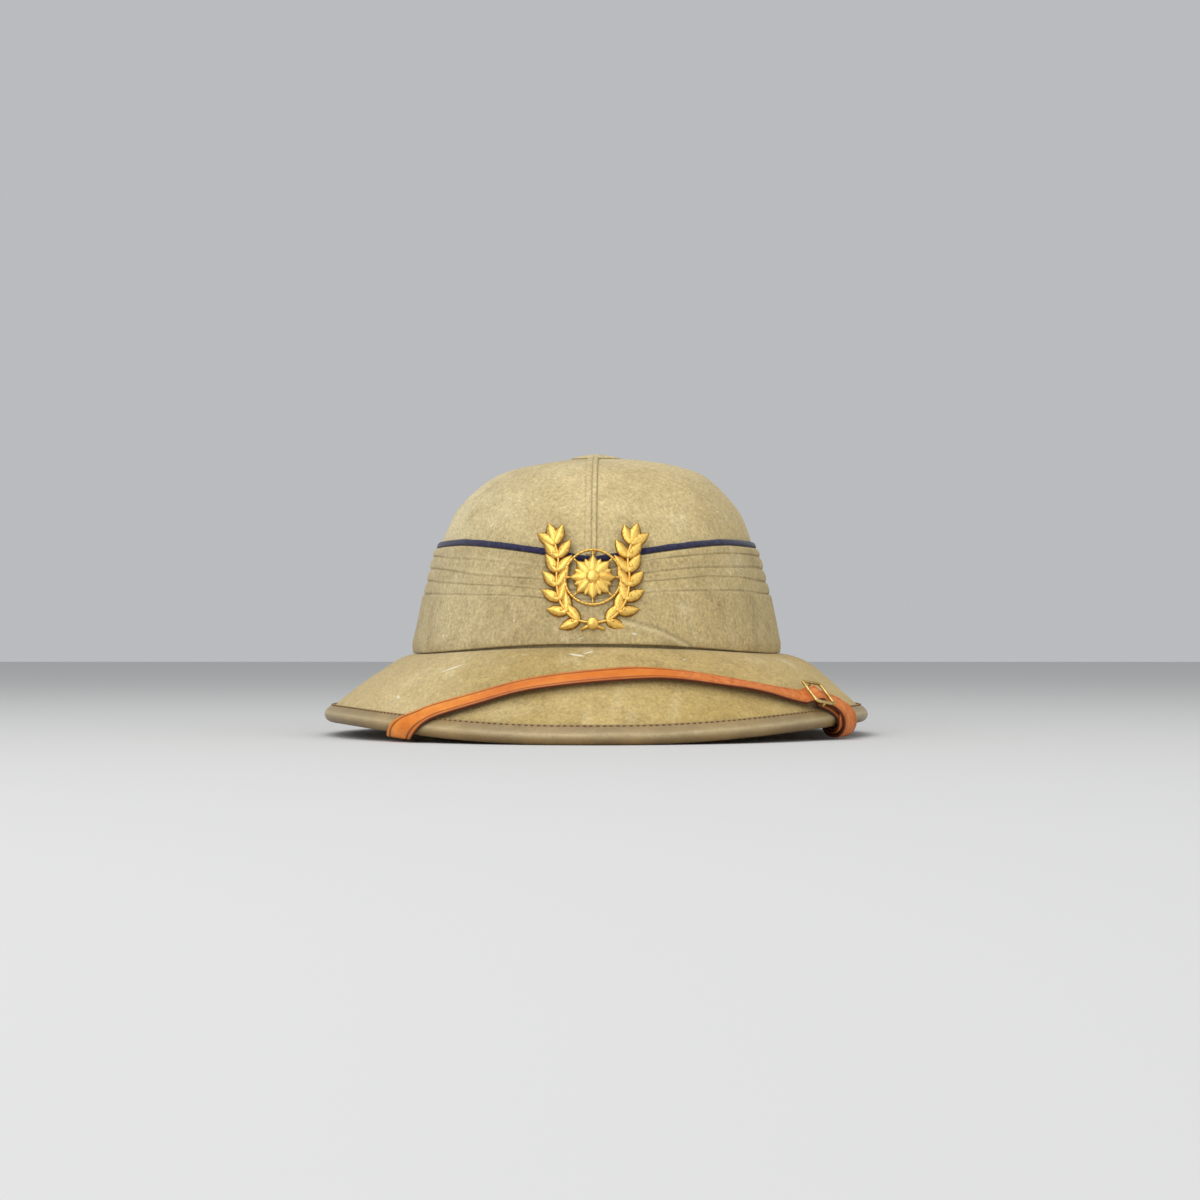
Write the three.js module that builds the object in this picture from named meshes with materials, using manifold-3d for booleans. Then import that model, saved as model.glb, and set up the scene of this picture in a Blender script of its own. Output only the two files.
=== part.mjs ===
// A pith helmet: a cloth-covered dome and brim, a wrapped pugaree, a gilt wreath badge and a chin strap.
// Millimetres, +Z up. The front faces -Y, and the origin is on the floor under the middle of the rim.
import * as THREE from "three";
import { mergeVertices } from "three/addons/utils/BufferGeometryUtils.js";
import Module from "manifold-3d";

const wasm = await Module();
wasm.setup();

// Crown
const crownHalfWidth = 98.5;
const crownHalfLength = 119;
const crownShift = -3.5; // the crown sits this far from the middle of the brim
const crownWall = 6;
const footChamfer = 2; // on the inner edge of the wall's foot
const crownSpring = 50; // up to here the wall stands upright
const crownTop = 152.2;
const ventSeatRadius = 15.5;

// Brim, measured to the middle of its rounded edge
const brimReachSide = 146.6;
const brimReachFront = 173;
const brimReachBack = 180;
const brimThickness = 5;
const brimRootFront = 48.6;
const brimRootSide = 45;
const brimRootBack = 45.5;
const rimLift = 7.6; // the rim rises this much from front and back to the sides
const flatRimAngle = 4.6; // degrees at front and back where the rim lies level
const rimLiftAngle = 70; // degrees from front or back where the lift is whole

// Binding
const bindingLeather = 1.2;
const bindingFlange = 5.5;

// Pugaree
const pugareeBottomFront = 49.8;
const pugareeBottomSide = 45.7;
const pugareeBottomBack = 46.4;
const pugareeTop = 102.6;
const frontDip = 11; // the folds run down towards the badge by this much
const dipAngle = 55;
const bandShare = 0.55; // the plain lower band's part of the height
const bandDepth = 4.6;
const wrapDepthLow = 3.3;
const wrapDepthHigh = 1.5;
const pleatCount = 4;
const pleatDepth = 1.2;
const stripeHeight = 3.1;
const stripeDepth = 1.5;

// Welted seam and ventilator button
const weltWidth = 4.6;
const weltHeight = 1.3;
const ventRadius = 14.2;
const ventHeight = 3.4;

// Badge
const badgeHeight = 84.5; // its middle above the floor
const badgeStand = 5.6; // its back stands this far off the crown
const badgeLean = 14;
const badgeBendAcross = 75;
const badgeBendUp = 180;
const badgeThickness = 1.6;
const wreathHalfWidth = 20.5;
const wreathHalfHeight = 24.5;
const wreathStem = 1.2;
const leafLength = 12;
const leafWidth = 6.4;
const leafPairs = 6;
const leafSpread = 36; // degrees between a leaf and its stem
const rosetteRadius = 11;
const petalCount = 8;
const petalWidth = 6.4;
const bossRadius = 3.4;
const bossHeight = 3;
const knotRadius = 3.2;
const ringRadius = 14.6;
const ringWire = 1;
const postRadius = 1.5;
const nutRadius = 5.5;
const nutHeight = 2.6;

// Chin strap and buckle
const strapWidth = 11.5;
const strapLeather = 1.8;
const buckleStrapLeather = 1.6;
const strapWallRun = 26; // how far the strap's ends run up inside the crown
const buckleLength = 15;
const buckleWire = 1.5;
const studHeadRadius = 4.6;
const studHeadHeight = 1.6;
const studShankRadius = 1.4;
const studDepth = 4; // the shank's length in the crown's wall

// Clearance between pieces that touch, and the number of points round a ring
const gap = 0.3;
const around = 40;

const radians = THREE.MathUtils.degToRad;
const lerp = THREE.MathUtils.lerp;
const edgeRadius = brimThickness / 2;
const rollRadius = edgeRadius + gap + bindingLeather;
const rimFlat = radians(20); // half of the roll's flat underside
const rimHeight = rollRadius * Math.cos(rimFlat); // the edge's middle above the floor at front and back

const materials = {
  khakiCloth: new THREE.MeshStandardMaterial({ color: 0xb9a87a, roughness: 0.9 }),
  wrapCloth: new THREE.MeshStandardMaterial({ color: 0xb3a27c, roughness: 0.92 }),
  navyCloth: new THREE.MeshStandardMaterial({ color: 0x2d2b55, roughness: 0.9 }),
  edgeLeather: new THREE.MeshStandardMaterial({ color: 0x96845f, roughness: 0.65 }),
  strapLeather: new THREE.MeshStandardMaterial({ color: 0xd8803c, roughness: 0.6 }),
  gilt: new THREE.MeshStandardMaterial({ color: 0xd9a441, roughness: 0.3, metalness: 1 }),
  brass: new THREE.MeshStandardMaterial({ color: 0xc09a4a, roughness: 0.35, metalness: 1 }),
};

// The crown's sections: rise is a share of the dome's height above its upright foot, and the other columns
// are shares of its half width and half length.
const crownSections = [
  { rise: 0, left: 0.997, right: 1.001, front: 1, back: 1 },
  { rise: 0.117, left: 0.967, right: 0.973, front: 0.975, back: 0.97 },
  { rise: 0.264, left: 0.934, right: 0.938, front: 0.95, back: 0.94 },
  { rise: 0.411, left: 0.907, right: 0.91, front: 0.925, back: 0.91 },
  { rise: 0.538, left: 0.879, right: 0.881, front: 0.895, back: 0.875 },
  { rise: 0.641, left: 0.832, right: 0.847, front: 0.86, back: 0.83 },
  { rise: 0.714, left: 0.796, right: 0.812, front: 0.825, back: 0.785 },
  { rise: 0.778, left: 0.741, right: 0.761, front: 0.775, back: 0.73 },
  { rise: 0.851, left: 0.66, right: 0.69, front: 0.7, back: 0.65 },
  { rise: 0.915, left: 0.558, right: 0.609, front: 0.605, back: 0.555 },
  { rise: 0.949, left: 0.447, right: 0.518, front: 0.515, back: 0.465 },
  { rise: 0.9755, left: 0.305, right: 0.406, front: 0.39, back: 0.345 },
  { rise: 0.991, left: 0.213, right: 0.305, front: 0.28, back: 0.245 },
];

// The brim's top: across is a share of the way from the crown to the edge, and the other columns are the
// share of the fall that each side has made there.
const brimSections = [
  { across: 0, left: 0, right: 0, front: 0, back: 0 },
  { across: 0.1, left: 0.03, right: 0.015, front: 0.02, back: 0.02 },
  { across: 0.22, left: 0.1, right: 0.055, front: 0.09, back: 0.09 },
  { across: 0.42, left: 0.3, right: 0.19, front: 0.29, back: 0.29 },
  { across: 0.62, left: 0.51, right: 0.46, front: 0.53, back: 0.53 },
  { across: 0.82, left: 0.75, right: 0.74, front: 0.77, back: 0.77 },
  { across: 1, left: 1, right: 1, front: 1, back: 1 },
];

// The straps' routes over the brim: the angle from the front in degrees, how far across the brim (0 at the
// crown, 1 at the outermost edge, 2 back at the crown on the underside, 3 at the top of the run inside the
// crown), and the lift as a share of the hump over the buckle's middle bar.
const chinStrapRoute = [
  { angle: -80, across: 3, lift: 0 },
  { angle: -79, across: 2.6, lift: 0 },
  { angle: -77.5, across: 2.32, lift: 0 },
  { angle: -76.5, across: 2.23, lift: 0 },
  { angle: -75.6, across: 2.15, lift: 0 },
  { angle: -74.6, across: 2.07, lift: 0 },
  { angle: -73.4, across: 2, lift: 0 },
  { angle: -66, across: 1.72, lift: 0 },
  { angle: -56, across: 1.4, lift: 0 },
  { angle: -49.4, across: 1.23, lift: 0 },
  { angle: -45.9, across: 1.14, lift: 0 },
  { angle: -43.1, across: 1.07, lift: 0 },
  { angle: -40.8, across: 1, lift: 0 },
  { angle: -38.4, across: 0.94, lift: 0 },
  { angle: -35.8, across: 0.88, lift: 0 },
  { angle: -33, across: 0.8, lift: 0 },
  { angle: -25.5, across: 0.665, lift: 0 },
  { angle: -17, across: 0.54, lift: 0 },
  { angle: -8, across: 0.47, lift: 0 },
  { angle: 2.5, across: 0.425, lift: 0 },
  { angle: 12, across: 0.405, lift: 0 },
  { angle: 20.5, across: 0.43, lift: 0 },
  { angle: 27, across: 0.475, lift: 0 },
  { angle: 36, across: 0.555, lift: 0 },
  { angle: 43, across: 0.635, lift: 0 },
  { angle: 47.5, across: 0.69, lift: 0 },
  { angle: 49.8, across: 0.717, lift: 0 },
  { angle: 51.3, across: 0.735, lift: 0.4 },
  { angle: 53.1, across: 0.757, lift: 1 },
  { angle: 54.7, across: 0.777, lift: 0.6 },
  { angle: 56.3, across: 0.81, lift: 0.52 },
  { angle: 58, across: 0.88, lift: 0.68 },
  { angle: 59.8, across: 0.965, lift: 0.76 },
  { angle: 61.4, across: 1.04, lift: 0.76 },
  { angle: 63, across: 1.12, lift: 0.76 },
];
const buckleStrapRoute = [
  { angle: 84, across: 3, lift: 0 },
  { angle: 83.5, across: 2.6, lift: 0 },
  { angle: 82.6, across: 2.32, lift: 0 },
  { angle: 82, across: 2.23, lift: 0 },
  { angle: 81.5, across: 2.15, lift: 0 },
  { angle: 80.9, across: 2.07, lift: 0 },
  { angle: 80.2, across: 2, lift: 0 },
  { angle: 75, across: 1.72, lift: 0 },
  { angle: 69.2, across: 1.42, lift: 0 },
  { angle: 65.8, across: 1.26, lift: 0 },
  { angle: 64.2, across: 1.18, lift: 0 },
  { angle: 63.1, across: 1.13, lift: 0 },
  { angle: 62.2, across: 1.085, lift: 0 },
  { angle: 61.2, across: 1.04, lift: 0 },
  { angle: 60.3, across: 1, lift: 0 },
  { angle: 59, across: 0.94, lift: 0 },
  { angle: 57.6, across: 0.872, lift: 0 },
  { angle: 55.4, across: 0.8, lift: 0 },
  { angle: 53.1, across: 0.757, lift: 0 },
];
const stationsPerRow = 2;
const studAcross = 2.76; // where the studs hold the straps' ends
const strapRest = 0.85; // the strap lies this far off the cloth
const middleBarHeight = strapRest + buckleStrapLeather + 2 * gap + buckleWire / 2;
const humpHeight = middleBarHeight + buckleWire / 2 + 3 * gap; // the strap's underside over the middle bar
const tailHeight = strapRest + buckleStrapLeather + gap; // and where it lies on the short strap
const frameHeight = tailHeight + strapLeather + 4 * gap + buckleWire / 2;

// One profile point for each side of the ring: reach is measured from the crown's middle.
function sided(make) {
  return { left: make("left"), right: make("right"), front: make("front"), back: make("back") };
}

// How much of the side's height a ring has at an angle from the front.
function sideShare(angle) {
  const turned = Math.asin(Math.min(1, Math.abs(Math.sin(angle))));
  return THREE.MathUtils.smoothstep(turned, radians(flatRimAngle), radians(rimLiftAngle));
}

// A point of a ring, at an angle from the front that grows towards the right.
function ringPoint(ring, angle) {
  const across = Math.sin(angle);
  const along = Math.cos(angle);
  const side = across < 0 ? ring.left : ring.right;
  const end = along < 0 ? ring.back : ring.front;
  const height = lerp(end.height, side.height, sideShare(angle));
  return new THREE.Vector3(across * side.reach, crownShift - along * end.reach, height);
}

function ringAngles() {
  return Array.from({ length: around }, (_, i) => ((i + 0.5) / around) * 2 * Math.PI);
}

function ringPoints(ring) {
  return ringAngles().map((angle) => ringPoint(ring, angle));
}

// One closed surface through rings of equally many points. The rings join end to end where closed is true,
// and otherwise the first and the last are filled towards their middles.
function loft(rings, closed) {
  const count = rings[0].length;
  const points = rings.flat();
  const index = [];
  const last = closed ? rings.length : rings.length - 1;
  for (let i = 0; i < last; i += 1) {
    const a = i * count;
    const b = ((i + 1) % rings.length) * count;
    for (let j = 0; j < count; j += 1) {
      const k = (j + 1) % count;
      index.push(a + j, a + k, b + k, a + j, b + k, b + j);
    }
  }
  if (!closed) {
    for (const [ring, start] of [[rings[0], 0], [rings.at(-1), (rings.length - 1) * count]]) {
      const middle = ring.reduce((sum, p) => sum.add(p), new THREE.Vector3()).divideScalar(count);
      const centre = points.push(middle) - 1;
      for (let j = 0; j < count; j += 1) {
        const k = (j + 1) % count;
        index.push(...(start ? [start + j, start + k, centre] : [start + k, start + j, centre]));
      }
    }
  }
  const geometry = new THREE.BufferGeometry().setFromPoints(points);
  geometry.setIndex(volumeOf(points, index) < 0 ? index.reverse() : index);
  return geometry;
}

function volumeOf(points, index) {
  let sum = 0;
  for (let i = 0; i < index.length; i += 3) {
    const [a, b, c] = index.slice(i, i + 3).map((n) => points[n]);
    sum += a.dot(b.clone().cross(c));
  }
  return sum / 6;
}

// Boolean work on closed geometries
function solidOf(geometry) {
  const bare = geometry.clone();
  bare.deleteAttribute("normal");
  bare.deleteAttribute("uv");
  const merged = mergeVertices(bare, 1e-4);
  return new wasm.Manifold(
    new wasm.Mesh({
      numProp: 3,
      vertProperties: new Float32Array(merged.attributes.position.array),
      triVerts: new Uint32Array(merged.index.array),
    }),
  );
}

function geometryOf(solid) {
  const mesh = solid.getMesh();
  const geometry = new THREE.BufferGeometry();
  geometry.setAttribute("position", new THREE.BufferAttribute(new Float32Array(mesh.vertProperties), 3));
  geometry.setIndex([...mesh.triVerts]);
  return geometry;
}

function join(geometries) {
  return geometryOf(geometries.map(solidOf).reduce((sum, solid) => sum.add(solid)));
}

function cut(geometry, cutters) {
  return geometryOf(cutters.map(solidOf).reduce((rest, solid) => rest.subtract(solid), solidOf(geometry)));
}

// A rod between two points
function rod(from, to, radius, sides = 12) {
  const along = to.clone().sub(from);
  const geometry = new THREE.CylinderGeometry(radius, radius, along.length(), sides);
  const turn = new THREE.Quaternion().setFromUnitVectors(new THREE.Vector3(0, 1, 0), along.normalize());
  const middle = from.clone().add(to).multiplyScalar(0.5);
  return geometry.applyMatrix4(new THREE.Matrix4().compose(middle, turn, new THREE.Vector3(1, 1, 1)));
}

function piece(name, geometry, material) {
  const mesh = new THREE.Mesh(geometry, material);
  mesh.name = name;
  material.flatShading = true;
  return mesh;
}

// The crown's reach on one side at a height.
const halfSizes = {
  left: crownHalfWidth,
  right: crownHalfWidth,
  front: crownHalfLength,
  back: crownHalfLength,
};
const domeHeight = crownTop - crownSpring;
function crownReach(side, height) {
  const rise = Math.max(0, (height - crownSpring) / domeHeight);
  const above = crownSections.findIndex((row) => row.rise > rise);
  if (above === -1) {
    const top = crownSections.at(-1);
    return lerp(top[side] * halfSizes[side], ventSeatRadius, (rise - top.rise) / (1 - top.rise));
  }
  const low = crownSections[above - 1];
  const high = crownSections[above];
  return lerp(low[side], high[side], (rise - low.rise) / (high.rise - low.rise)) * halfSizes[side];
}

// A point off the crown's surface, at any angle and height.
function crownPoint(angle, height, out) {
  return ringPoint(
    sided((side) => ({ reach: crownReach(side, height) + out, height })),
    angle,
  );
}

// Profiles are lists of reach and height. This moves one sideways, to the right of its run where the distance
// is positive, and keeps its stretches parallel.
function offset(profile, distance) {
  const runs = profile.slice(1).map((point, i) => {
    const run = new THREE.Vector2(point.reach - profile[i].reach, point.height - profile[i].height);
    return run.normalize();
  });
  return profile.map((point, i) => {
    const before = runs[Math.max(0, i - 1)];
    const after = runs[Math.min(runs.length - 1, i)];
    const middle = before.clone().add(after).normalize();
    const miter = distance / Math.max(0.5, middle.dot(before));
    return { reach: point.reach + middle.y * miter, height: point.height - middle.x * miter };
  });
}

// The brim's middle height where it meets the crown, and the middle of its rounded edge
const rootHeights = { left: brimRootSide, right: brimRootSide, front: brimRootFront, back: brimRootBack };
const rootReach = (side) => crownReach(side, crownSpring) + gap;
const edges = {
  left: { reach: brimReachSide, height: rimHeight + rimLift },
  right: { reach: brimReachSide, height: rimHeight + rimLift },
  front: { reach: brimReachFront, height: rimHeight },
  back: { reach: brimReachBack, height: rimHeight },
};

// The brim's slope at its edge, as the direction of its last stretch down and outwards.
function edgeSlope(side) {
  const fore = brimSections.at(-2);
  const last = brimSections.at(-1);
  const run = (last.across - fore.across) * (edges[side].reach - rootReach(side));
  const fall = (last[side] - fore[side]) * (rootHeights[side] - edges[side].height);
  return Math.atan2(fall, run);
}

// A point off the middle of the edge, at an angle above the horizontal.
function offEdge(side, angle, distance) {
  const edge = edges[side];
  return { reach: edge.reach + Math.cos(angle) * distance, height: edge.height + Math.sin(angle) * distance };
}

function brimTop(side) {
  const root = { reach: rootReach(side), height: rootHeights[side] };
  const end = offEdge(side, Math.PI / 2 - edgeSlope(side), edgeRadius);
  return brimSections.map((row) => ({
    reach: lerp(root.reach, end.reach, row.across),
    height: lerp(root.height, end.height, row[side]),
  }));
}

// The brim's underside, from the edge back to the crown
function brimUnder(side) {
  const under = offset(brimTop(side), brimThickness).toReversed();
  under.splice(-1, 1, { reach: rootReach(side), height: rootHeights[side] - brimThickness });
  return under;
}

// Moves a point up the brim's last stretch by a length given at the front, and in proportion elsewhere.
const lastStretch = (side) => {
  const share = brimSections.at(-1).across - brimSections.at(-2).across;
  return (share * (edges[side].reach - rootReach(side))) / Math.cos(edgeSlope(side));
};
function upSlope(side, point, frontLength) {
  const slope = edgeSlope(side);
  const length = (frontLength * lastStretch(side)) / lastStretch("front");
  return { reach: point.reach - Math.cos(slope) * length, height: point.height + Math.sin(slope) * length };
}

// The angles of a rounded edge from the brim's top to its underside, with a level facet at its lowest.
function rollAngles(side) {
  const slope = edgeSlope(side);
  return [
    Math.PI / 2 - slope,
    lerp(Math.PI / 2 - slope, -Math.PI / 2 + rimFlat, 0.34),
    lerp(Math.PI / 2 - slope, -Math.PI / 2 + rimFlat, 0.67),
    -Math.PI / 2 + rimFlat,
    -Math.PI / 2 - rimFlat,
    -Math.PI / 2 - slope,
  ];
}

// Turns the profiles of the four sides into rings.
function ringsOf(profiles) {
  return profiles.front.map((_, i) => sided((side) => profiles[side][i]));
}

function brimGeometry() {
  const profiles = sided((side) => [
    ...brimTop(side),
    ...rollAngles(side).slice(1, -1).map((angle) => offEdge(side, angle, edgeRadius)),
    ...brimUnder(side),
  ]);
  return loft(ringsOf(profiles).map(ringPoints), true);
}

function bindingGeometry() {
  const inner = edgeRadius + gap;
  const profiles = sided((side) => {
    const roll = rollAngles(side);
    return [
      upSlope(side, offEdge(side, roll[0], rollRadius - gap), bindingFlange),
      ...roll.map((angle) => offEdge(side, angle, rollRadius)),
      upSlope(side, offEdge(side, roll.at(-1), rollRadius), bindingFlange),
      upSlope(side, offEdge(side, roll.at(-1), inner), bindingFlange),
      ...roll.toReversed().map((angle) => offEdge(side, angle, inner)),
      upSlope(side, offEdge(side, roll[0], inner), bindingFlange),
    ];
  });
  return loft(ringsOf(profiles).map(ringPoints), true);
}

// The crown's outside on one side, from its foot up to the ventilator's seat
function crownOutside(side) {
  return [
    { reach: crownReach(side, crownSpring), height: rootHeights[side] - brimThickness },
    ...crownSections.map((row) => ({
      reach: row[side] * halfSizes[side],
      height: crownSpring + row.rise * domeHeight,
    })),
    { reach: ventSeatRadius, height: crownTop },
  ];
}

// Its inside, a wall's thickness in, through every second section
function crownInside(side) {
  const outside = crownOutside(side);
  const wall = offset(outside, -crownWall);
  wall.splice(-1, 1, { reach: ventSeatRadius, height: crownTop - crownWall });
  const { reach, height } = outside[0];
  const foot = [
    { reach: reach - crownWall + footChamfer, height },
    { reach: reach - crownWall, height: height + footChamfer },
  ];
  return [...foot, ...wall.filter((_, i) => i > 0 && (i % 2 === 0 || i === wall.length - 1))];
}

function crownGeometry(holes) {
  const rings = [...ringsOf(sided(crownInside)).toReversed(), ...ringsOf(sided(crownOutside))];
  return cut(loft(rings.map(ringPoints), false), holes);
}

// The reach of a rising profile at a height
function reachAt(profile, height) {
  const next = profile.findIndex((point, i) => i > 0 && (point.height > height || i === profile.length - 1));
  const low = profile[next - 1];
  const high = profile[next];
  return lerp(low.reach, high.reach, (height - low.height) / (high.height - low.height));
}

// The pugaree's lower and upper edge at an angle
const bottomHeights = {
  left: pugareeBottomSide,
  right: pugareeBottomSide,
  front: pugareeBottomFront,
  back: pugareeBottomBack,
};
function pugareeHeight(angle, rise, above = 0) {
  const bottom = ringPoint(sided((side) => ({ reach: 0, height: bottomHeights[side] })), angle).z;
  const turned = Math.abs(THREE.MathUtils.euclideanModulo(angle + Math.PI, 2 * Math.PI) - Math.PI);
  const dip = frontDip * Math.max(0, 1 - turned / radians(dipAngle)) ** 1.5;
  return lerp(bottom, pugareeTop - dip, rise) + above;
}

// The wrap's outline from its lower edge up: rise is a share of its height, and depth a share of the band's.
const bandSections = [
  { rise: 0, depth: 0.62 },
  { rise: 0.04, depth: 0.76 },
  { rise: 0.96, depth: 1 },
  { rise: 1, depth: 0.93 },
];
const pleatSections = [
  { rise: 0.02, bulge: 0 },
  { rise: 0.45, bulge: 1 },
];
function pugareeOutline() {
  const band = bandSections.map((row) => ({ rise: row.rise * bandShare, depth: row.depth * bandDepth }));
  const pleats = Array.from({ length: pleatCount }, (_, i) =>
    pleatSections.map((row) => {
      const share = (i + row.rise) / pleatCount;
      const depth = lerp(wrapDepthLow, wrapDepthHigh, share) + row.bulge * pleatDepth;
      return { rise: lerp(bandShare, 1, share), depth };
    }),
  );
  return [...band, ...pleats.flat(), { rise: 1, depth: wrapDepthHigh }];
}

// Its inner side follows the crown's own sections between its two edges.
function pugareeGeometry(holes) {
  const outer = pugareeOutline().map((row) =>
    ringAngles().map((angle) => crownPoint(angle, pugareeHeight(angle, row.rise), row.depth + gap)),
  );
  const seams = crownSections.map((row) => crownSpring + row.rise * domeHeight).filter((z) => z < pugareeTop);
  const inner = [pugareeTop, ...seams.toReversed(), 0].map((height, i, all) =>
    ringAngles().map((angle) => {
      const inset = i === 0 || i === all.length - 1 ? 0 : gap;
      const low = pugareeHeight(angle, 0) + inset;
      const high = pugareeHeight(angle, 1) - inset;
      return crownPoint(angle, THREE.MathUtils.clamp(height, low, high), gap);
    }),
  );
  return cut(loft([...outer, ...inner], true), holes);
}

function stripeGeometry() {
  const outline = [
    { up: 0, out: 0.1 },
    { up: 0, out: 1 },
    { up: 0.5, out: 1.05 },
    { up: 0.85, out: 0.85 },
    { up: 1, out: 0.1 },
  ];
  const rings = outline.map((row) =>
    ringAngles().map((angle) => {
      const height = pugareeHeight(angle, 1, gap + row.up * stripeHeight);
      return crownPoint(angle, height, gap + row.out * stripeDepth);
    }),
  );
  return loft(rings, true);
}

// The welt runs over the crown from the stripe up to the ventilator, on the flat facet of its middle.
function weltGeometry(end) {
  const facing = end === "front" ? -1 : 1;
  const facet = Math.cos(Math.PI / around);
  const corner = Math.PI / around + (end === "front" ? 0 : Math.PI);
  const foot = pugareeHeight(corner, 1, 3 * gap + stripeHeight);
  const heights = crownSections.map((row) => crownSpring + row.rise * domeHeight).filter((z) => z > foot + 2);
  const lowest = { reach: crownReach(end, foot), height: foot };
  const path = [lowest, ...heights.map((height) => ({ reach: crownReach(end, height), height }))];
  path.push({ reach: ventRadius + 2 * gap, height: crownTop });
  const seats = offset(path, gap);
  const tops = offset(path, gap + weltHeight);
  const place = (point, x) => new THREE.Vector3(x, crownShift + facing * point.reach * facet, point.height);
  const rings = seats.map((seat, i) => [
    place(seat, -weltWidth / 2),
    place(tops[i], -weltWidth / 4),
    place(tops[i], weltWidth / 4),
    place(seat, weltWidth / 2),
  ]);
  return loft(rings, false);
}

function ventGeometry() {
  const outline = [
    { out: 0, up: 0 },
    { out: 1, up: 0 },
    { out: 1, up: 0.12 },
    { out: 0.78, up: 0.42 },
    { out: 0.55, up: 0.72 },
    { out: 0.28, up: 0.93 },
    { out: 0, up: 1 },
  ];
  const points = outline.map((row) => new THREE.Vector2(row.out * ventRadius, row.up * ventHeight));
  return new THREE.LatheGeometry(points, 16).rotateX(Math.PI / 2);
}

// The badge is laid out flat, with x to the right, y up and z towards the viewer, and then bent.
// One leaf, with a raised rib, from its root towards an angle.
function leaf(root, angle, length, width, thickness) {
  const sections = [
    { along: 0.02, wide: 0.3, high: 0.7 },
    { along: 0.5, wide: 1, high: 1 },
    { along: 0.98, wide: 0.1, high: 0.6 },
  ];
  const run = new THREE.Vector3(Math.cos(angle), Math.sin(angle), 0);
  const side = new THREE.Vector3(-run.y, run.x, 0);
  const rings = sections.map((row) => {
    const middle = root.clone().addScaledVector(run, row.along * length);
    const level = (across, height) => middle.clone().addScaledVector(side, across * width).setZ(height);
    return [level(-row.wide / 2, 0), level(0, thickness * row.high), level(row.wide / 2, 0)];
  });
  return loft(rings, false);
}

// The three corners of a bar's section at a point, square to the side given.
function barSection(point, side, wire) {
  return [-1, 0, 1].map((hand) => {
    const at = point.clone().addScaledVector(side, (hand * wire) / 2);
    return at.setZ(hand ? 0 : wire);
  });
}

function bar(points, wire) {
  const rings = points.map((point, i) => {
    const before = points[Math.max(0, i - 1)];
    const run = points[Math.min(points.length - 1, i + 1)].clone().sub(before).normalize();
    return barSection(point, new THREE.Vector3(-run.y, run.x, 0), wire);
  });
  return loft(rings, false);
}

const polar = (radius, angle) => new THREE.Vector3(Math.cos(angle) * radius, Math.sin(angle) * radius, 0);

// A spray's stem from the knot up, as shares of the badge's half width and half height.
const spraySections = [
  { across: 0.03, up: -1 },
  { across: 0.5, up: -0.87 },
  { across: 0.83, up: -0.5 },
  { across: 0.92, up: 0 },
  { across: 0.88, up: 0.45 },
  { across: 1, up: 0.86 },
];

function spray(hand) {
  const knots = spraySections.map(
    (row) => new THREE.Vector3(hand * row.across * wreathHalfWidth, row.up * wreathHalfHeight, 0),
  );
  const stem = new THREE.CatmullRomCurve3(knots);
  const shapes = [bar(stem.getSpacedPoints(8), wreathStem)];
  for (let i = 0; i < leafPairs; i += 1) {
    const place = lerp(0.16, 0.95, i / (leafPairs - 1));
    const run = stem.getTangentAt(place);
    for (const spread of [-leafSpread, leafSpread]) {
      const heading = Math.atan2(run.y, run.x) + radians(spread);
      shapes.push(leaf(stem.getPointAt(place), heading, leafLength, leafWidth, badgeThickness));
    }
  }
  const end = stem.getTangentAt(1);
  shapes.push(leaf(stem.getPointAt(0.97), Math.atan2(end.y, end.x), leafLength, leafWidth, badgeThickness));
  const tail = new THREE.Vector3(-hand * wreathHalfWidth * 0.3, -wreathHalfHeight * 1.12, 0);
  shapes.push(bar([stem.getPointAt(0.02), tail], wreathStem * 1.5));
  return shapes;
}

// A rosette of petals inside a ring, between the two sprays.
function rosette() {
  const shapes = [];
  const circle = Array.from({ length: 20 }, (_, i) => polar(ringRadius, (i / 20) * 2 * Math.PI));
  shapes.push(loft(circle.map((point) => barSection(point, point.clone().normalize(), ringWire)), true));
  for (let i = 0; i < petalCount; i += 1) {
    const angle = (i / petalCount) * 2 * Math.PI;
    shapes.push(leaf(polar(1, angle), angle, rosetteRadius, petalWidth, badgeThickness * 1.25));
    shapes.push(bar([polar(rosetteRadius, angle), polar(ringRadius, angle)], ringWire));
  }
  const bossOutline = [
    { out: 0, up: 0 },
    { out: 1, up: 0 },
    { out: 1, up: 0.55 },
    { out: 0.65, up: 0.9 },
    { out: 0, up: 1 },
  ];
  const boss = bossOutline.map((row) => new THREE.Vector2(row.out * bossRadius, row.up * bossHeight));
  shapes.push(new THREE.LatheGeometry(boss, 12).rotateX(Math.PI / 2));
  return shapes;
}

function badgeLayout() {
  const knot = new THREE.SphereGeometry(knotRadius, 8, 5).scale(1.25, 1, 0.62);
  knot.translate(0, -wreathHalfHeight, knotRadius * 0.4);
  return [...spray(1), ...spray(-1), ...rosette(), knot];
}

// The badge's place on the front of the pugaree
const postLength = badgeStand + crownWall + gap + nutHeight + 2;
const badgePlace = new THREE.Matrix4()
  .makeTranslation(0, crownShift - crownReach("front", badgeHeight) - badgeStand, badgeHeight)
  .multiply(new THREE.Matrix4().makeRotationX(Math.PI / 2 - radians(badgeLean)));

function badgeGeometry() {
  const badge = join(badgeLayout());
  const places = badge.attributes.position;
  for (let i = 0; i < places.count; i += 1) {
    const bend = places.getX(i) ** 2 / (2 * badgeBendAcross) + places.getY(i) ** 2 / (2 * badgeBendUp);
    places.setZ(i, places.getZ(i) - bend);
  }
  const post = rod(new THREE.Vector3(0, 0, 1), new THREE.Vector3(0, 0, -postLength), postRadius);
  return join([badge, post]).applyMatrix4(badgePlace);
}

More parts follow.
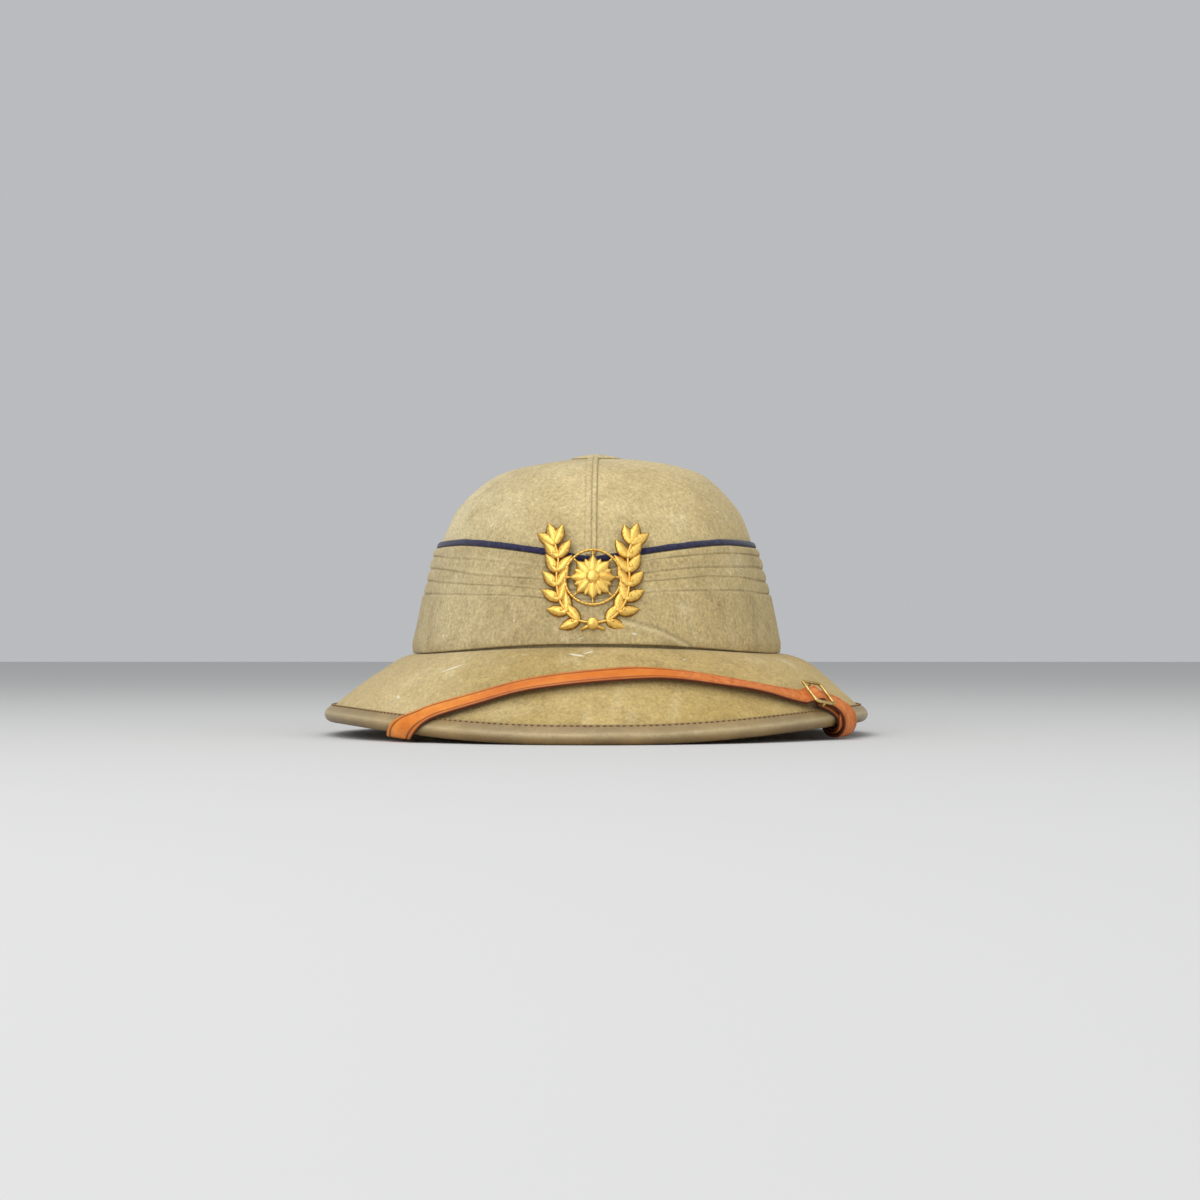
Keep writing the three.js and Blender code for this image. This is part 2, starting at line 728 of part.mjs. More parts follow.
// The hole that the post passes through
function postHole() {
  const hole = rod(new THREE.Vector3(0, 0, 2), new THREE.Vector3(0, 0, -postLength), postRadius + gap);
  return hole.applyMatrix4(badgePlace);
}

function nutGeometry() {
  const inner = postRadius + gap;
  const points = [[inner, 0], [nutRadius, 0], [nutRadius, nutHeight], [inner, nutHeight], [inner, 0]];
  const nut = new THREE.LatheGeometry(points.map(([x, y]) => new THREE.Vector2(x, y)), 10);
  const seat = -(badgeStand + crownWall + 2 * gap + nutHeight);
  return nut.rotateX(Math.PI / 2).translate(0, 0, seat).applyMatrix4(badgePlace);
}

// The bed that the straps lie on, as one profile for each side: the brim's top, the binding's roll, the
// brim's underside, the crown's lower edge and its inner wall. The tip and the root are the points at 1 and
// 2 across.
function bedProfile(side) {
  const top = brimTop(side).slice(0, -2);
  const roll = rollAngles(side);
  const rollSteps = 8;
  const turn = (share) => lerp(roll[0], roll.at(-1), share);
  const arc = Array.from({ length: rollSteps + 1 }, (_, i) => offEdge(side, turn(i / rollSteps), rollRadius));
  const flange = (point) => upSlope(side, point, bindingFlange * 1.3);
  const under = brimUnder(side).slice(2);
  const inside = crownInside(side);
  const wall = [0.4, 0.7, 1].map((share) => {
    const height = inside[0].height + share * strapWallRun;
    return { reach: reachAt(inside, height), height };
  });
  const points = [
    ...top,
    flange(arc[0]),
    ...arc,
    flange(arc.at(-1)),
    ...under,
    inside[0],
    inside[1],
    ...wall,
  ];
  return { points, tip: top.length + 1 + rollSteps / 2, root: top.length + rollSteps + 2 + under.length };
}

const beds = sided(bedProfile);
function bedRings(lift) {
  return ringsOf(sided((side) => offset(beds[side].points, -lift)));
}

// A point over the bed at an angle, a place across it and a lift.
function bedPoint(angle, across, lift) {
  const seats = bedRings(0).map((ring) => ringPoint(ring, angle));
  const lengths = seats.map((_, i) => (i ? seats[i].distanceTo(seats[i - 1]) : 0));
  const sums = lengths.map((_, i) => lengths.slice(0, i + 1).reduce((a, b) => a + b));
  const { tip, root } = beds.front;
  const marks = [0, sums[tip], sums[root], sums.at(-1)];
  const whole = Math.min(2, Math.max(0, Math.floor(across)));
  const length = lerp(marks[whole], marks[whole + 1], across - whole);
  const next = sums.findIndex((sum, i) => i > 0 && (sum > length || i === sums.length - 1));
  const share = (length - sums[next - 1]) / (sums[next] - sums[next - 1]);
  const lifted = bedRings(lift);
  return ringPoint(lifted[next - 1], angle).lerp(ringPoint(lifted[next], angle), share);
}

// A strap's stations: the angle, the place across and the lift along its route.
function stationsOf(route) {
  const scale = crownHalfLength; // brings the three columns to like sizes for the curve
  const knots = route.map(
    (row) => new THREE.Vector3(radians(row.angle) * scale, row.across * scale, row.lift),
  );
  const curve = new THREE.CatmullRomCurve3(knots, false, "catmullrom", 0.5);
  return curve.getPoints((route.length - 1) * stationsPerRow).map((p) => ({
    angle: p.x / scale,
    across: p.y / scale,
    height: strapRest + Math.max(0, p.z) * (humpHeight - strapRest),
  }));
}

// The place beside a station, square to the route.
function beside(stations, i, aside) {
  const here = stations[i];
  const before = stations[Math.max(0, i - 1)];
  const after = stations[Math.min(stations.length - 1, i + 1)];
  const step = 0.01;
  const seat = bedPoint(here.angle, here.across, 0);
  const perAngle = bedPoint(here.angle + step, here.across, 0).distanceTo(seat) / step;
  const perAcross = bedPoint(here.angle, here.across + step, 0).distanceTo(seat) / step;
  const run = new THREE.Vector2(
    (after.angle - before.angle) * perAngle,
    (after.across - before.across) * perAcross,
  ).normalize();
  return {
    angle: here.angle - (run.y * aside) / perAngle,
    across: here.across + (run.x * aside) / perAcross,
  };
}

function strapGeometry(route, thickness) {
  const stations = stationsOf(route);
  const rings = stations.map((station, i) => {
    const places = [-1, -0.35, 0.35, 1].map((hand) => beside(stations, i, (hand * strapWidth) / 2));
    const low = places.map((place) => bedPoint(place.angle, place.across, station.height));
    const high = places.map((place) => bedPoint(place.angle, place.across, station.height + thickness));
    return [...low, ...high.reverse()];
  });
  return loft(rings, false);
}

// The frame of a station: its point, the strap's direction and the direction off the bed
function frameAt(angle, across, height, heading) {
  const origin = bedPoint(angle, across, height);
  const up = bedPoint(angle, across, height + 1).sub(origin).normalize();
  const ahead = bedPoint(heading.angle, heading.across, height).sub(origin).normalize();
  const side = up.clone().cross(ahead).normalize();
  const basis = new THREE.Matrix4().makeBasis(side.clone().cross(up), side, up).setPosition(origin);
  return { origin, basis };
}

// The stud's head lies on the strap and its shank goes into the crown's wall.
function studPlace(route, thickness) {
  const end = stationsOf(route).find((station) => station.across < studAcross);
  const heading = { angle: end.angle, across: studAcross - 0.3 };
  return frameAt(end.angle, studAcross, strapRest + thickness + 2 * gap, heading);
}

function studGeometry(place) {
  const head = new THREE.LatheGeometry(
    [[0, 0], [1, 0], [0.8, 0.7], [0, 1]].map(
      ([out, up]) => new THREE.Vector2(out * studHeadRadius, up * studHeadHeight),
    ),
    10,
  ).rotateX(Math.PI / 2);
  return join([head, studShank(studShankRadius)]).applyMatrix4(place.basis);
}

function studShank(radius) {
  const length = strapRest + strapLeather + gap + studDepth;
  return rod(new THREE.Vector3(0, 0, 0.4), new THREE.Vector3(0, 0, -length), radius);
}

const studHole = (place) => studShank(studShankRadius + gap).applyMatrix4(place.basis);

// The buckle: a frame of round wire over the strap, whose middle bar dips under it
const buckleInner = strapWidth + 9 * gap;
const buckleAhead = { angle: radians(55), across: 0.782 };
const buckleAt = { angle: radians(53.1), across: 0.757 };
const bucklePlace = frameAt(buckleAt.angle, buckleAt.across, frameHeight, buckleAhead);

function buckleGeometry() {
  const halfLong = (buckleLength - buckleWire) / 2;
  const halfWide = (buckleInner + buckleWire) / 2;
  const corner = 2;
  const centres = [[1, 1], [-1, 1], [-1, -1], [1, -1]];
  const path = centres.flatMap(([x, y], quarter) =>
    [0, 45, 90].map((turn) => {
      const angle = radians(turn + quarter * 90);
      const out = new THREE.Vector3(Math.cos(angle), Math.sin(angle), 0);
      const middle = new THREE.Vector3(x * (halfLong - corner), y * (halfWide - corner), 0);
      return { middle, out };
    }),
  );
  const rings = path.map(({ middle, out }) =>
    [0, 60, 120, 180, 240, 300].map((turn) => {
      const angle = radians(turn);
      const wire = buckleWire / 2;
      const at = middle.clone().addScaledVector(out, corner + Math.cos(angle) * wire);
      return at.setZ(Math.sin(angle) * wire);
    }),
  );
  const place = (y, height) => new THREE.Vector3(0, y, height - frameHeight);
  const corners = [[-1, frameHeight], [-1, middleBarHeight], [1, middleBarHeight], [1, frameHeight]];
  const bends = corners.map(([hand, height]) => place(hand * halfWide, height));
  const bars = bends.slice(1).map((end, i) => rod(bends[i], end, buckleWire / 2, 6));
  return join([loft(rings, true), ...bars]).applyMatrix4(bucklePlace.basis);
}

function build() {
  const helmet = new THREE.Group();
  const { khakiCloth, wrapCloth, navyCloth, edgeLeather, strapLeather: tan, gilt, brass } = materials;
  const leftStud = studPlace(chinStrapRoute, strapLeather);
  const rightStud = studPlace(buckleStrapRoute, buckleStrapLeather);
  const holes = [postHole(), studHole(leftStud), studHole(rightStud)];
  helmet.add(piece("crown", crownGeometry(holes), khakiCloth));
  helmet.add(piece("brim", brimGeometry(), khakiCloth));
  helmet.add(piece("brim_binding", bindingGeometry(), edgeLeather));
  helmet.add(piece("pugaree", pugareeGeometry([postHole()]), wrapCloth));
  helmet.add(piece("pugaree_stripe", stripeGeometry(), navyCloth));
  for (const end of ["front", "back"]) {
    helmet.add(piece("crown_welt_" + end, weltGeometry(end), khakiCloth));
  }
  const vent = piece("vent_cap", ventGeometry(), khakiCloth);
  vent.position.set(0, crownShift, crownTop + gap);
  helmet.add(vent);
  helmet.add(piece("badge", badgeGeometry(), gilt));
  helmet.add(piece("badge_nut", nutGeometry(), brass));
  const chinStrap = cut(strapGeometry(chinStrapRoute, strapLeather), [studHole(leftStud)]);
  const buckleStrap = cut(strapGeometry(buckleStrapRoute, buckleStrapLeather), [studHole(rightStud)]);
  helmet.add(piece("chin_strap", chinStrap, tan));
  helmet.add(piece("buckle_strap", buckleStrap, tan));
  helmet.add(piece("strap_buckle", buckleGeometry(), brass));
  helmet.add(piece("strap_stud_left", studGeometry(leftStud), brass));
  helmet.add(piece("strap_stud_right", studGeometry(rightStud), brass));
  return helmet;
}

export default build();
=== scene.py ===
# A cloth-covered sun helmet: dome, wrapped pugaree, gilt wreath badge, bound brim and buckled chin strap.
import bisect
import math

import bmesh
import bpy
from mathutils import Matrix, Vector, noise


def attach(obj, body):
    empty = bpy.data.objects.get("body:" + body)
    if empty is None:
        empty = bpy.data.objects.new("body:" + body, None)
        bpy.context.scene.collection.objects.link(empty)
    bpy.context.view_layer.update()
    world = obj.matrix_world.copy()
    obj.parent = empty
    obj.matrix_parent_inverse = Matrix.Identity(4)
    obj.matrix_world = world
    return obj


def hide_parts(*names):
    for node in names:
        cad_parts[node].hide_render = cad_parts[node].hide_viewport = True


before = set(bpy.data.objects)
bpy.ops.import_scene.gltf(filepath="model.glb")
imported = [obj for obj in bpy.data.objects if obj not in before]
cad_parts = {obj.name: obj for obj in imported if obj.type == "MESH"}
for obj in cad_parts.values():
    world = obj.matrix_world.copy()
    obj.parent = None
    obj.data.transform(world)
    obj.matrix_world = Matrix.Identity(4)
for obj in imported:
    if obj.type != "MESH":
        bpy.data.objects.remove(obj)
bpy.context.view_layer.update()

# Sizes are in millimetres here, as in the frame's own source, and meshes are written in metres.
mm = 0.001
gap = 0.3
sides = ("left", "right", "front", "back")


def lerp(a, b, t):
    return a + (b - a) * t


def clamp(value, low=0.0, high=1.0):
    return max(low, min(high, value))


def smooth(t):
    t = clamp(t)
    return t * t * (3 - 2 * t)


# A slow wave of noise from -1 to 1, the same at each run
def waver(angle, seed, turns=6, height=0.0):
    return noise.noise(Vector((math.cos(angle) * turns, math.sin(angle) * turns, seed * 7.31 + height)))


# Shaders: a wire is one socket, and expressions on wires add Math nodes
class Wire:
    def __init__(self, finish, socket):
        self.finish = finish
        self.socket = socket

    def maths(self, operation, *others):
        return self.finish.add("ShaderNodeMath", {"operation": operation}, dict(enumerate((self, *others))))

    def __add__(self, other):
        return self.maths("ADD", other)

    def __sub__(self, other):
        return self.maths("SUBTRACT", other)

    def __mul__(self, other):
        return self.maths("MULTIPLY", other)

    def __truediv__(self, other):
        return self.maths("DIVIDE", other)

    __radd__ = __add__
    __rmul__ = __mul__

    def __rsub__(self, other):
        return self.finish.add("ShaderNodeMath", {"operation": "SUBTRACT"}, {0: other, 1: self})

    def __pow__(self, other):
        return self.maths("POWER", other)

    def sine(self):
        return self.maths("SINE")

    def size(self):
        return self.maths("ABSOLUTE")

    # 0 below the first number, 1 above the second
    def ramp(self, low, high):
        sockets = {"Value": self, "From Min": low, "From Max": high}
        return self.finish.add("ShaderNodeMapRange", {"interpolation_type": "SMOOTHSTEP"}, sockets)


class Finish:
    def __init__(self, name, roughness, metallic=0.0, **constants):
        self.material = bpy.data.materials.new(name)
        self.material.use_nodes = True
        self.tree = self.material.node_tree
        self.shader = self.tree.nodes["Principled BSDF"]
        self.shader.inputs["Roughness"].default_value = roughness
        self.shader.inputs["Metallic"].default_value = metallic
        for name, value in constants.items():
            self.shader.inputs[name.replace("_", " ")].default_value = value

    def feed(self, socket, value):
        if isinstance(value, Wire):
            self.tree.links.new(value.socket, socket)
        elif socket.type == "RGBA" and len(value) == 3:
            socket.default_value = (*value, 1)
        else:
            socket.default_value = value

    def add(self, kind, settings=None, sockets=None, out=0):
        node = self.tree.nodes.new(kind)
        for name, value in (settings or {}).items():
            setattr(node, name, value)
        for name, value in (sockets or {}).items():
            self.feed(node.inputs[name], value)
        return Wire(self, node.outputs[out])

    def place(self):
        return self.add("ShaderNodeTexCoord", out="Object")

    def parts(self, vector):
        first = self.add("ShaderNodeSeparateXYZ", None, {0: vector})
        return [Wire(self, socket) for socket in first.socket.node.outputs]

    def noise(self, scale, detail=3.0, place=None, rough=0.5, stretch=None):
        at = place or self.place()
        if stretch:
            at = self.add("ShaderNodeMapping", None, {"Vector": at, "Scale": stretch})
        sockets = {"Vector": at, "Scale": scale, "Detail": detail, "Roughness": rough}
        return self.add("ShaderNodeTexNoise", None, sockets, "Fac")

    def mix(self, factor, a, b, blend="MIX"):
        settings = {"data_type": "RGBA", "blend_type": blend}
        return self.add("ShaderNodeMix", settings, {0: factor, 6: a, 7: b}, 2)

    def attribute(self, name):
        return self.add("ShaderNodeAttribute", {"attribute_name": name}, out="Fac")

    def run(self):
        return self.parts(self.add("ShaderNodeUVMap", {"uv_map": "run"}, out="UV"))

    def paint(self, color=None, roughness=None, **others):
        if color:
            self.feed(self.shader.inputs["Base Color"], color)
        if roughness:
            self.feed(self.shader.inputs["Roughness"], roughness)
        for name, value in others.items():
            self.feed(self.shader.inputs[name.replace("_", " ")], value)
        return self

    def bump(self, height, distance, strength=1.0):
        sockets = {"Height": height, "Distance": distance, "Strength": strength}
        normal = self.add("ShaderNodeBump", None, sockets, "Normal")
        self.feed(self.shader.inputs["Normal"], normal)
        return self


# Colours as they look on screen, brought to the light values that nodes take
def tint(red, green, blue):
    return tuple(((c / 255 + 0.055) / 1.055) ** 2.4 if c > 10 else c / 3294 for c in (red, green, blue))


# A twill's fine ribs from 0 to 1, laid over the piece from three sides, so that they keep their scale
def twill(finish, pitch, lean=0.62):
    x, y, z = finish.parts(finish.place())
    normal = finish.add("ShaderNodeNewGeometry", out="Normal")
    turned = [part * part for part in finish.parts(normal)]
    wobble = finish.noise(260, 2) * 1.6
    step = 2 * math.pi / pitch
    across = [(y * step * lean + z * step) + wobble, (x * step * lean + z * step) + wobble,
              (x * step * lean + y * step) + wobble]
    ribs = [wave.sine() * 0.5 + 0.5 for wave in across]
    return sum((rib * weight for rib, weight in zip(ribs[1:], turned[1:])), ribs[0] * turned[0])


# Small marks of wear on the front, each at x and z in millimetres, with its half sizes and its slope
marks = {
    "brim": [(-101.1, 22.5, 1.1, 0.9, 0), (-73, 37.4, 7.5, 0.4, 19), (-8, 44.4, 5, 0.5, -8), (-2, 45.6, 3, 0.4, 12),
             (47, 42, 1.2, 0.3, 30)],
    "crown": [(-54.6, 112.7, 0.8, 0.6, 60), (66, 121, 0.7, 0.6, 0), (-30, 126, 1.6, 0.25, 55)],
    "fades": [(41.8, 18, 8, 3.4, 80), (13.2, 22.4, 10, 3, 75), (-2, 13.5, 5, 3, 85), (20, 13.5, 5, 3, 95),
              (-42, 17, 14, 5, 8), (-96, 30, 10, 3, 38), (-104, 21, 6, 5, 20)],
    "wrap": [(-80.4, 54.3, 0.7, 0.6, 0), (21.5, 55.2, 1.6, 0.7, -12), (-41, 62, 1.0, 0.3, 80), (-6, 53, 2, 0.25, 20)],
}

clothLooks = {
    "crown": {"pale": (216, 200, 156), "deep": (192, 173, 127), "ochre": (204, 178, 116), "soilAndShade": (150, 129, 86),
              "pitch": 0.00115, "slubs": 0.0, "grain": 1.5, "marks": marks["crown"]},
    "brim": {"pale": (202, 181, 130), "deep": (176, 152, 96), "ochre": (188, 158, 90), "soilAndShade": (138, 112, 66),
             "pitch": 0.00115, "slubs": 0.0, "grain": 1.3, "marks": marks["brim"],
             "fades": marks["fades"]},
    "wrap": {"pale": (199, 181, 138), "deep": (175, 156, 112), "ochre": (190, 166, 108), "soilAndShade": (136, 116, 76),
             "pitch": 0.0008, "slubs": 0.6, "grain": 1.5, "marks": marks["wrap"]},
}


def markMask(finish, spots, soft=0.0):
    x, y, z = finish.parts(finish.place())
    chips = finish.noise(1500, 2)
    found = None
    for left, up, half, thin, slope in spots:
        turned = math.radians(slope)
        along = (x - left * mm) * math.cos(turned) + (z - up * mm) * math.sin(turned)
        aside = (z - up * mm) * math.cos(turned) - (x - left * mm) * math.sin(turned)
        far = (along / (half * mm)) ** 2 + (aside / (thin * mm)) ** 2 + chips * 1.4
        near = 1 - far.ramp(0.9 - soft, 1.7 + soft)
        found = found.maths("MAXIMUM", near) if found else near
    return found * (1 - y.ramp(-0.03, 0.0))


def makeCloth(name, look):
    finish = Finish(name, 0.92, Specular_IOR_Level=0.2, Sheen_Weight=0.12, Sheen_Roughness=0.5)
    x, y, z = finish.parts(finish.place())
    broad = finish.noise(11, 4, rough=0.6)
    patches = finish.noise(40, 6, rough=0.7)
    blotches = finish.noise(150, 4, rough=0.65)
    grains = finish.noise(600, 4, rough=0.8)
    lint = finish.noise(1000, 2, stretch=(1, 1, 2.4))
    slubs = finish.noise(800, 3, rough=0.7, stretch=(1, 1, 0.1))
    ribs = twill(finish, look["pitch"])
    color = finish.mix(broad.ramp(0.38, 0.62), tint(*look["deep"]), tint(*look["pale"]))
    rightHand = (x * 4 + broad - y * 1.5 - 0.35).ramp(-0.1, 0.75)
    color = finish.mix(rightHand * 0.62, color, tint(*look["ochre"]))
    color = finish.mix(patches.ramp(0.5, 0.72) * 0.42, color, tint(*look["soilAndShade"]))
    color = finish.mix((1 - patches.ramp(0.3, 0.46)) * 0.4, color, tint(226, 210, 168))
    if "fades" in look:
        color = finish.mix(markMask(finish, look["fades"], 0.9) * 0.24, color, tint(232, 216, 170))
        # Painted light: the brim's left side is painted paler
        color = finish.mix((1 - x.ramp(-0.1, -0.03)) * 0.35, color, tint(224, 204, 156))
    fade = 0.93 + (blotches - 0.5) * 0.42 + (grains - 0.5) * look["grain"] + ribs * 0.18
    fade = fade + (slubs - 0.5) * look["slubs"]
    color = finish.mix(1.0, color, fade, "MULTIPLY")
    color = finish.mix(lint.ramp(0.7, 0.78) * 0.35, color, tint(236, 228, 200))
    # Painted shade: where the mesh's tone is set (the pugaree's grooves, by the welts, round the ventilator's foot,
    # the brim under the pugaree) the cloth is darkened towards a deep copy of the soil colour
    tone = finish.attribute("tone")
    color = finish.mix(tone * 0.85, color, tint(*(part * 0.55 for part in look["soilAndShade"])))
    # Painted highlight with some rubbed wear: the pugaree's fold edges and the overlap's ridge are mixed towards pale
    # cloth
    rubbedAndHighlit = finish.attribute("wearAndHighlight") * (lint * 0.8 + blotches * 0.6)
    color = finish.mix(rubbedAndHighlit, color, tint(226, 210, 166))
    mark = markMask(finish, look["marks"])
    color = finish.mix(mark * 0.75, color, tint(240, 234, 212))
    height = ribs * 0.5 + grains * 0.9 + patches * 1.4 + slubs * look["slubs"] + mark * 0.6
    finish.paint(color)
    return finish.bump(height, 0.0003, 0.65)


crownCloth = makeCloth("crown twill", clothLooks["crown"])
brimCloth = makeCloth("brim twill", clothLooks["brim"])
wrapCloth = makeCloth("pugaree cotton", clothLooks["wrap"])


def makeLining():
    finish = Finish("lining cotton", 0.95, Specular_IOR_Level=0.15)
    weave = finish.noise(700, 2)
    shade = finish.noise(20, 3)
    finish.paint(finish.mix(shade, tint(150, 138, 104), tint(176, 163, 126)))
    return finish.bump(weave, 0.0002, 0.5)


liningCloth = makeLining()


def makeNavy():
    finish = Finish("navy wool", 0.95, Specular_IOR_Level=0.2, Sheen_Weight=0.25)
    fluff = finish.noise(420, 4, rough=0.7)
    worn = finish.noise(60, 3)
    color = finish.mix(fluff.ramp(0.35, 0.7), tint(30, 28, 54), tint(56, 54, 86))
    color = finish.mix(worn.ramp(0.62, 0.78) * 0.4, color, tint(104, 100, 108))
    finish.paint(color)
    return finish.bump(fluff, 0.0003, 0.7)


navyCloth = makeNavy()


# The binding's leather is khaki, with a painted highlight along the top of the roll, painted shade under the roll, and
# darker by the stitches
def makeEdgeLeather():
    finish = Finish("edge leather", 0.5, Specular_IOR_Level=0.5)
    along, across, _ = finish.run()
    blots = finish.noise(34, 5, rough=0.6)
    grain = finish.add("ShaderNodeTexVoronoi", {"feature": "DISTANCE_TO_EDGE"},
                       {"Vector": finish.place(), "Scale": 1100}, "Distance")
    rubsAndHighlight = finish.noise(90, 4, rough=0.7, stretch=(1, 1, 4))
    color = finish.mix(blots.ramp(0.34, 0.68), tint(126, 99, 54), tint(155, 126, 74))
    # Painted shade where the mesh's tone is set: under the roll and on the lower flange; it is also darker at the
    # upper flange's edge and by the stitches
    color = finish.mix(finish.attribute("tone"), color, tint(92, 68, 42))
    color = finish.mix(rubsAndHighlight.ramp(0.58, 0.74) * 0.4, color, tint(184, 160, 114))
    # Painted highlight along the top of the roll, and paler along the upper flange
    color = finish.mix(finish.attribute("wearAndHighlight") * (rubsAndHighlight * 0.8 + 0.2), color, tint(222, 202, 156))
    cracks = 1 - grain.ramp(0.0, 0.12)
    color = finish.mix(cracks * 0.28, color, tint(84, 62, 38))
    finish.paint(color, rubsAndHighlight.ramp(0.3, 0.75) * 0.2 + 0.33)
    return finish.bump(blots * 1.6 - cracks * 0.35, 0.0003, 0.6)


edgeLeather = makeEdgeLeather()


def makeThread(name, dark, pale):
    finish = Finish(name, 0.85, Specular_IOR_Level=0.25)
    fibres = finish.noise(1400, 2)
    finish.paint(finish.mix(fibres, tint(*dark), tint(*pale)))
    return finish.bump(fibres, 0.0001, 0.5)


brownThread = makeThread("brown thread", (98, 66, 34), (146, 106, 60))
khakiThread = makeThread("khaki thread", (150, 134, 96), (206, 192, 152))


# Strap leather: a smooth orange grain side, creased lines, raw brown edges, and wear towards the buckle
def makeStrapLeather():
    finish = Finish("strap leather", 0.5, Specular_IOR_Level=0.4)
    tone = finish.attribute("tone")
    worn = finish.attribute("wearAndHighlight")
    streaks = finish.noise(50, 5, rough=0.65)
    grain = finish.noise(900, 3, rough=0.6)
    fibres = finish.noise(330, 5, rough=0.7)
    x = finish.parts(finish.place())[0]
    color = finish.mix(streaks.ramp(0.32, 0.68), tint(212, 110, 28), tint(240, 148, 50))
    color = finish.mix(x.ramp(-0.06, 0.01) * (1 - x.ramp(0.03, 0.09)) * 0.5, color, tint(204, 98, 18))
    rough = finish.mix(fibres.ramp(0.25, 0.75), tint(194, 98, 36), tint(232, 142, 68))
    color = finish.mix((worn * 1.3 + streaks * 0.6 - 0.5).ramp(0.1, 0.8), color, rough)
    color = finish.mix(1.0, color, 0.9 + grain * 0.2, "MULTIPLY")
    color = finish.mix(tone, color, tint(92, 38, 14))
    finish.paint(color, worn * 0.2 + grain * 0.2 + 0.34)
    return finish.bump(grain * 0.4 + fibres * (worn * 0.9 + 0.15), 0.00025, 0.5)


strapLeather = makeStrapLeather()


# Gilt: bright on the relief, darker and duller in the hollows
def makeGilt():
    finish = Finish("gilt", 0.3, 1.0)
    tone = finish.attribute("tone")
    pits = finish.noise(700, 4, rough=0.7)
    stains = finish.noise(120, 3)
    grit = finish.noise(1700, 3, rough=0.75)
    high = (tone * 0.75 + pits * 0.75 + grit * 0.5 - 0.55).ramp(0.0, 0.62)
    color = finish.mix(high, tint(142, 88, 22), tint(252, 210, 112))
    color = finish.mix(stains.ramp(0.5, 0.75) * 0.4, color, tint(228, 160, 54))
    finish.paint(color, 0.55 - high * 0.24 + pits * 0.1)
    return finish.bump(pits + grit * 0.4, 0.0004, 0.65)


def makeBrass():
    finish = Finish("brass", 0.34, 1.0)
    stains = finish.noise(300, 4, rough=0.7)
    finish.paint(finish.mix(stains.ramp(0.3, 0.7), tint(176, 146, 78), tint(240, 212, 142)),
                 stains * 0.3 + 0.22)
    return finish.bump(stains, 0.0001, 0.3)


gilt = makeGilt()
brass = makeBrass()
print("finishes made")


# A mesh through rings of equally many points, with its lengths as UVs and a tone for each point
def loft(rings, closed=True, tones=None, wearsAndHighlights=None, caps=True):
    count = len(rings[0])
    bm = bmesh.new()
    uvs = bm.loops.layers.uv.new("run")
    toneLayer = bm.verts.layers.float.new("tone")
    # The second value per point holds real wear on the straps, a painted highlight with some rubbed wear along the
    # pugaree's folds, and a painted highlight along the binding's roll
    wearAndHighlightLayer = bm.verts.layers.float.new("wearAndHighlight")
    start = bmesh.ops.create_circle(bm, segments=count, radius=1)["verts"]
    columns = {vert: i for i, vert in enumerate(start)}
    spots = {vert: (0, i) for vert, i in columns.items()}
    edges = list(bm.edges)
    firstEdges, faceRows = edges, {}
    places = rings + [rings[0]] if closed else rings
    for vert, i in columns.items():
        vert.co = places[0][i]
    for row in range(1, len(places)):
        made = bmesh.ops.extrude_edge_only(bm, edges=edges)["geom"]
        verts = [part for part in made if isinstance(part, bmesh.types.BMVert)]
        fresh = {}
        for vert in verts:
            old = next(edge.other_vert(vert) for edge in vert.link_edges if edge.other_vert(vert) in columns)
            fresh[vert] = columns[old]
        for vert, i in fresh.items():
            vert.co = places[row][i]
            spots[vert] = (row, i)
        for part in made:
            if isinstance(part, bmesh.types.BMFace):
                faceRows[part] = row
        edges = [part for part in made if isinstance(part, bmesh.types.BMEdge) and all(v in fresh for v in part.verts)]
        columns = fresh
    middle = places[len(places) // 2]
    runs = [0.0]
    for i in range(count):
        runs.append(runs[-1] + (middle[(i + 1) % count] - middle[i]).length)
    rises = [0.0]
    for a, b in zip(places, places[1:]):
        rises.append(rises[-1] + (b[0] - a[0]).length)
    for vert, (row, i) in spots.items():
        row = row % len(rings)
        for layer, values in ((toneLayer, tones), (wearAndHighlightLayer, wearsAndHighlights)):
            value = values[row] if values else 0.0
            vert[layer] = value[i] if isinstance(value, (list, tuple)) else value
    for face in bm.faces:
        wraps = {spots[loop.vert][1] for loop in face.loops} == {0, count - 1}
        for loop in face.loops:
            row, i = spots[loop.vert]
            loop[uvs].uv = (runs[count] if wraps and i == 0 else runs[i], rises[row])
    if closed:
        ends = [vert for vert, (row, _) in spots.items() if row in (0, len(rings))]
        bmesh.ops.remove_doubles(bm, verts=ends, dist=1e-7)
    elif caps:
        for end in (firstEdges, edges):
            bmesh.ops.contextual_create(bm, geom=end)
    bmesh.ops.recalc_face_normals(bm, faces=bm.faces)
    return bm, faceRows


def addPiece(name, bm, finishes, nodes=(), levels=0):
    mesh = bpy.data.meshes.new(name)
    for face in bm.faces:
        face.smooth = True
    bm.to_mesh(mesh)
    bm.free()
    for finish in finishes if isinstance(finishes, (list, tuple)) else [finishes]:
        mesh.materials.append(finish.material)
    piece = bpy.data.objects.new(name, mesh)
    bpy.context.scene.collection.objects.link(piece)
    if levels:
        subdivision = piece.modifiers.new("smooth", "SUBSURF")
        subdivision.levels = subdivision.render_levels = levels
    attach(piece, "root")
    if nodes:
        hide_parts(*nodes)
    return piece


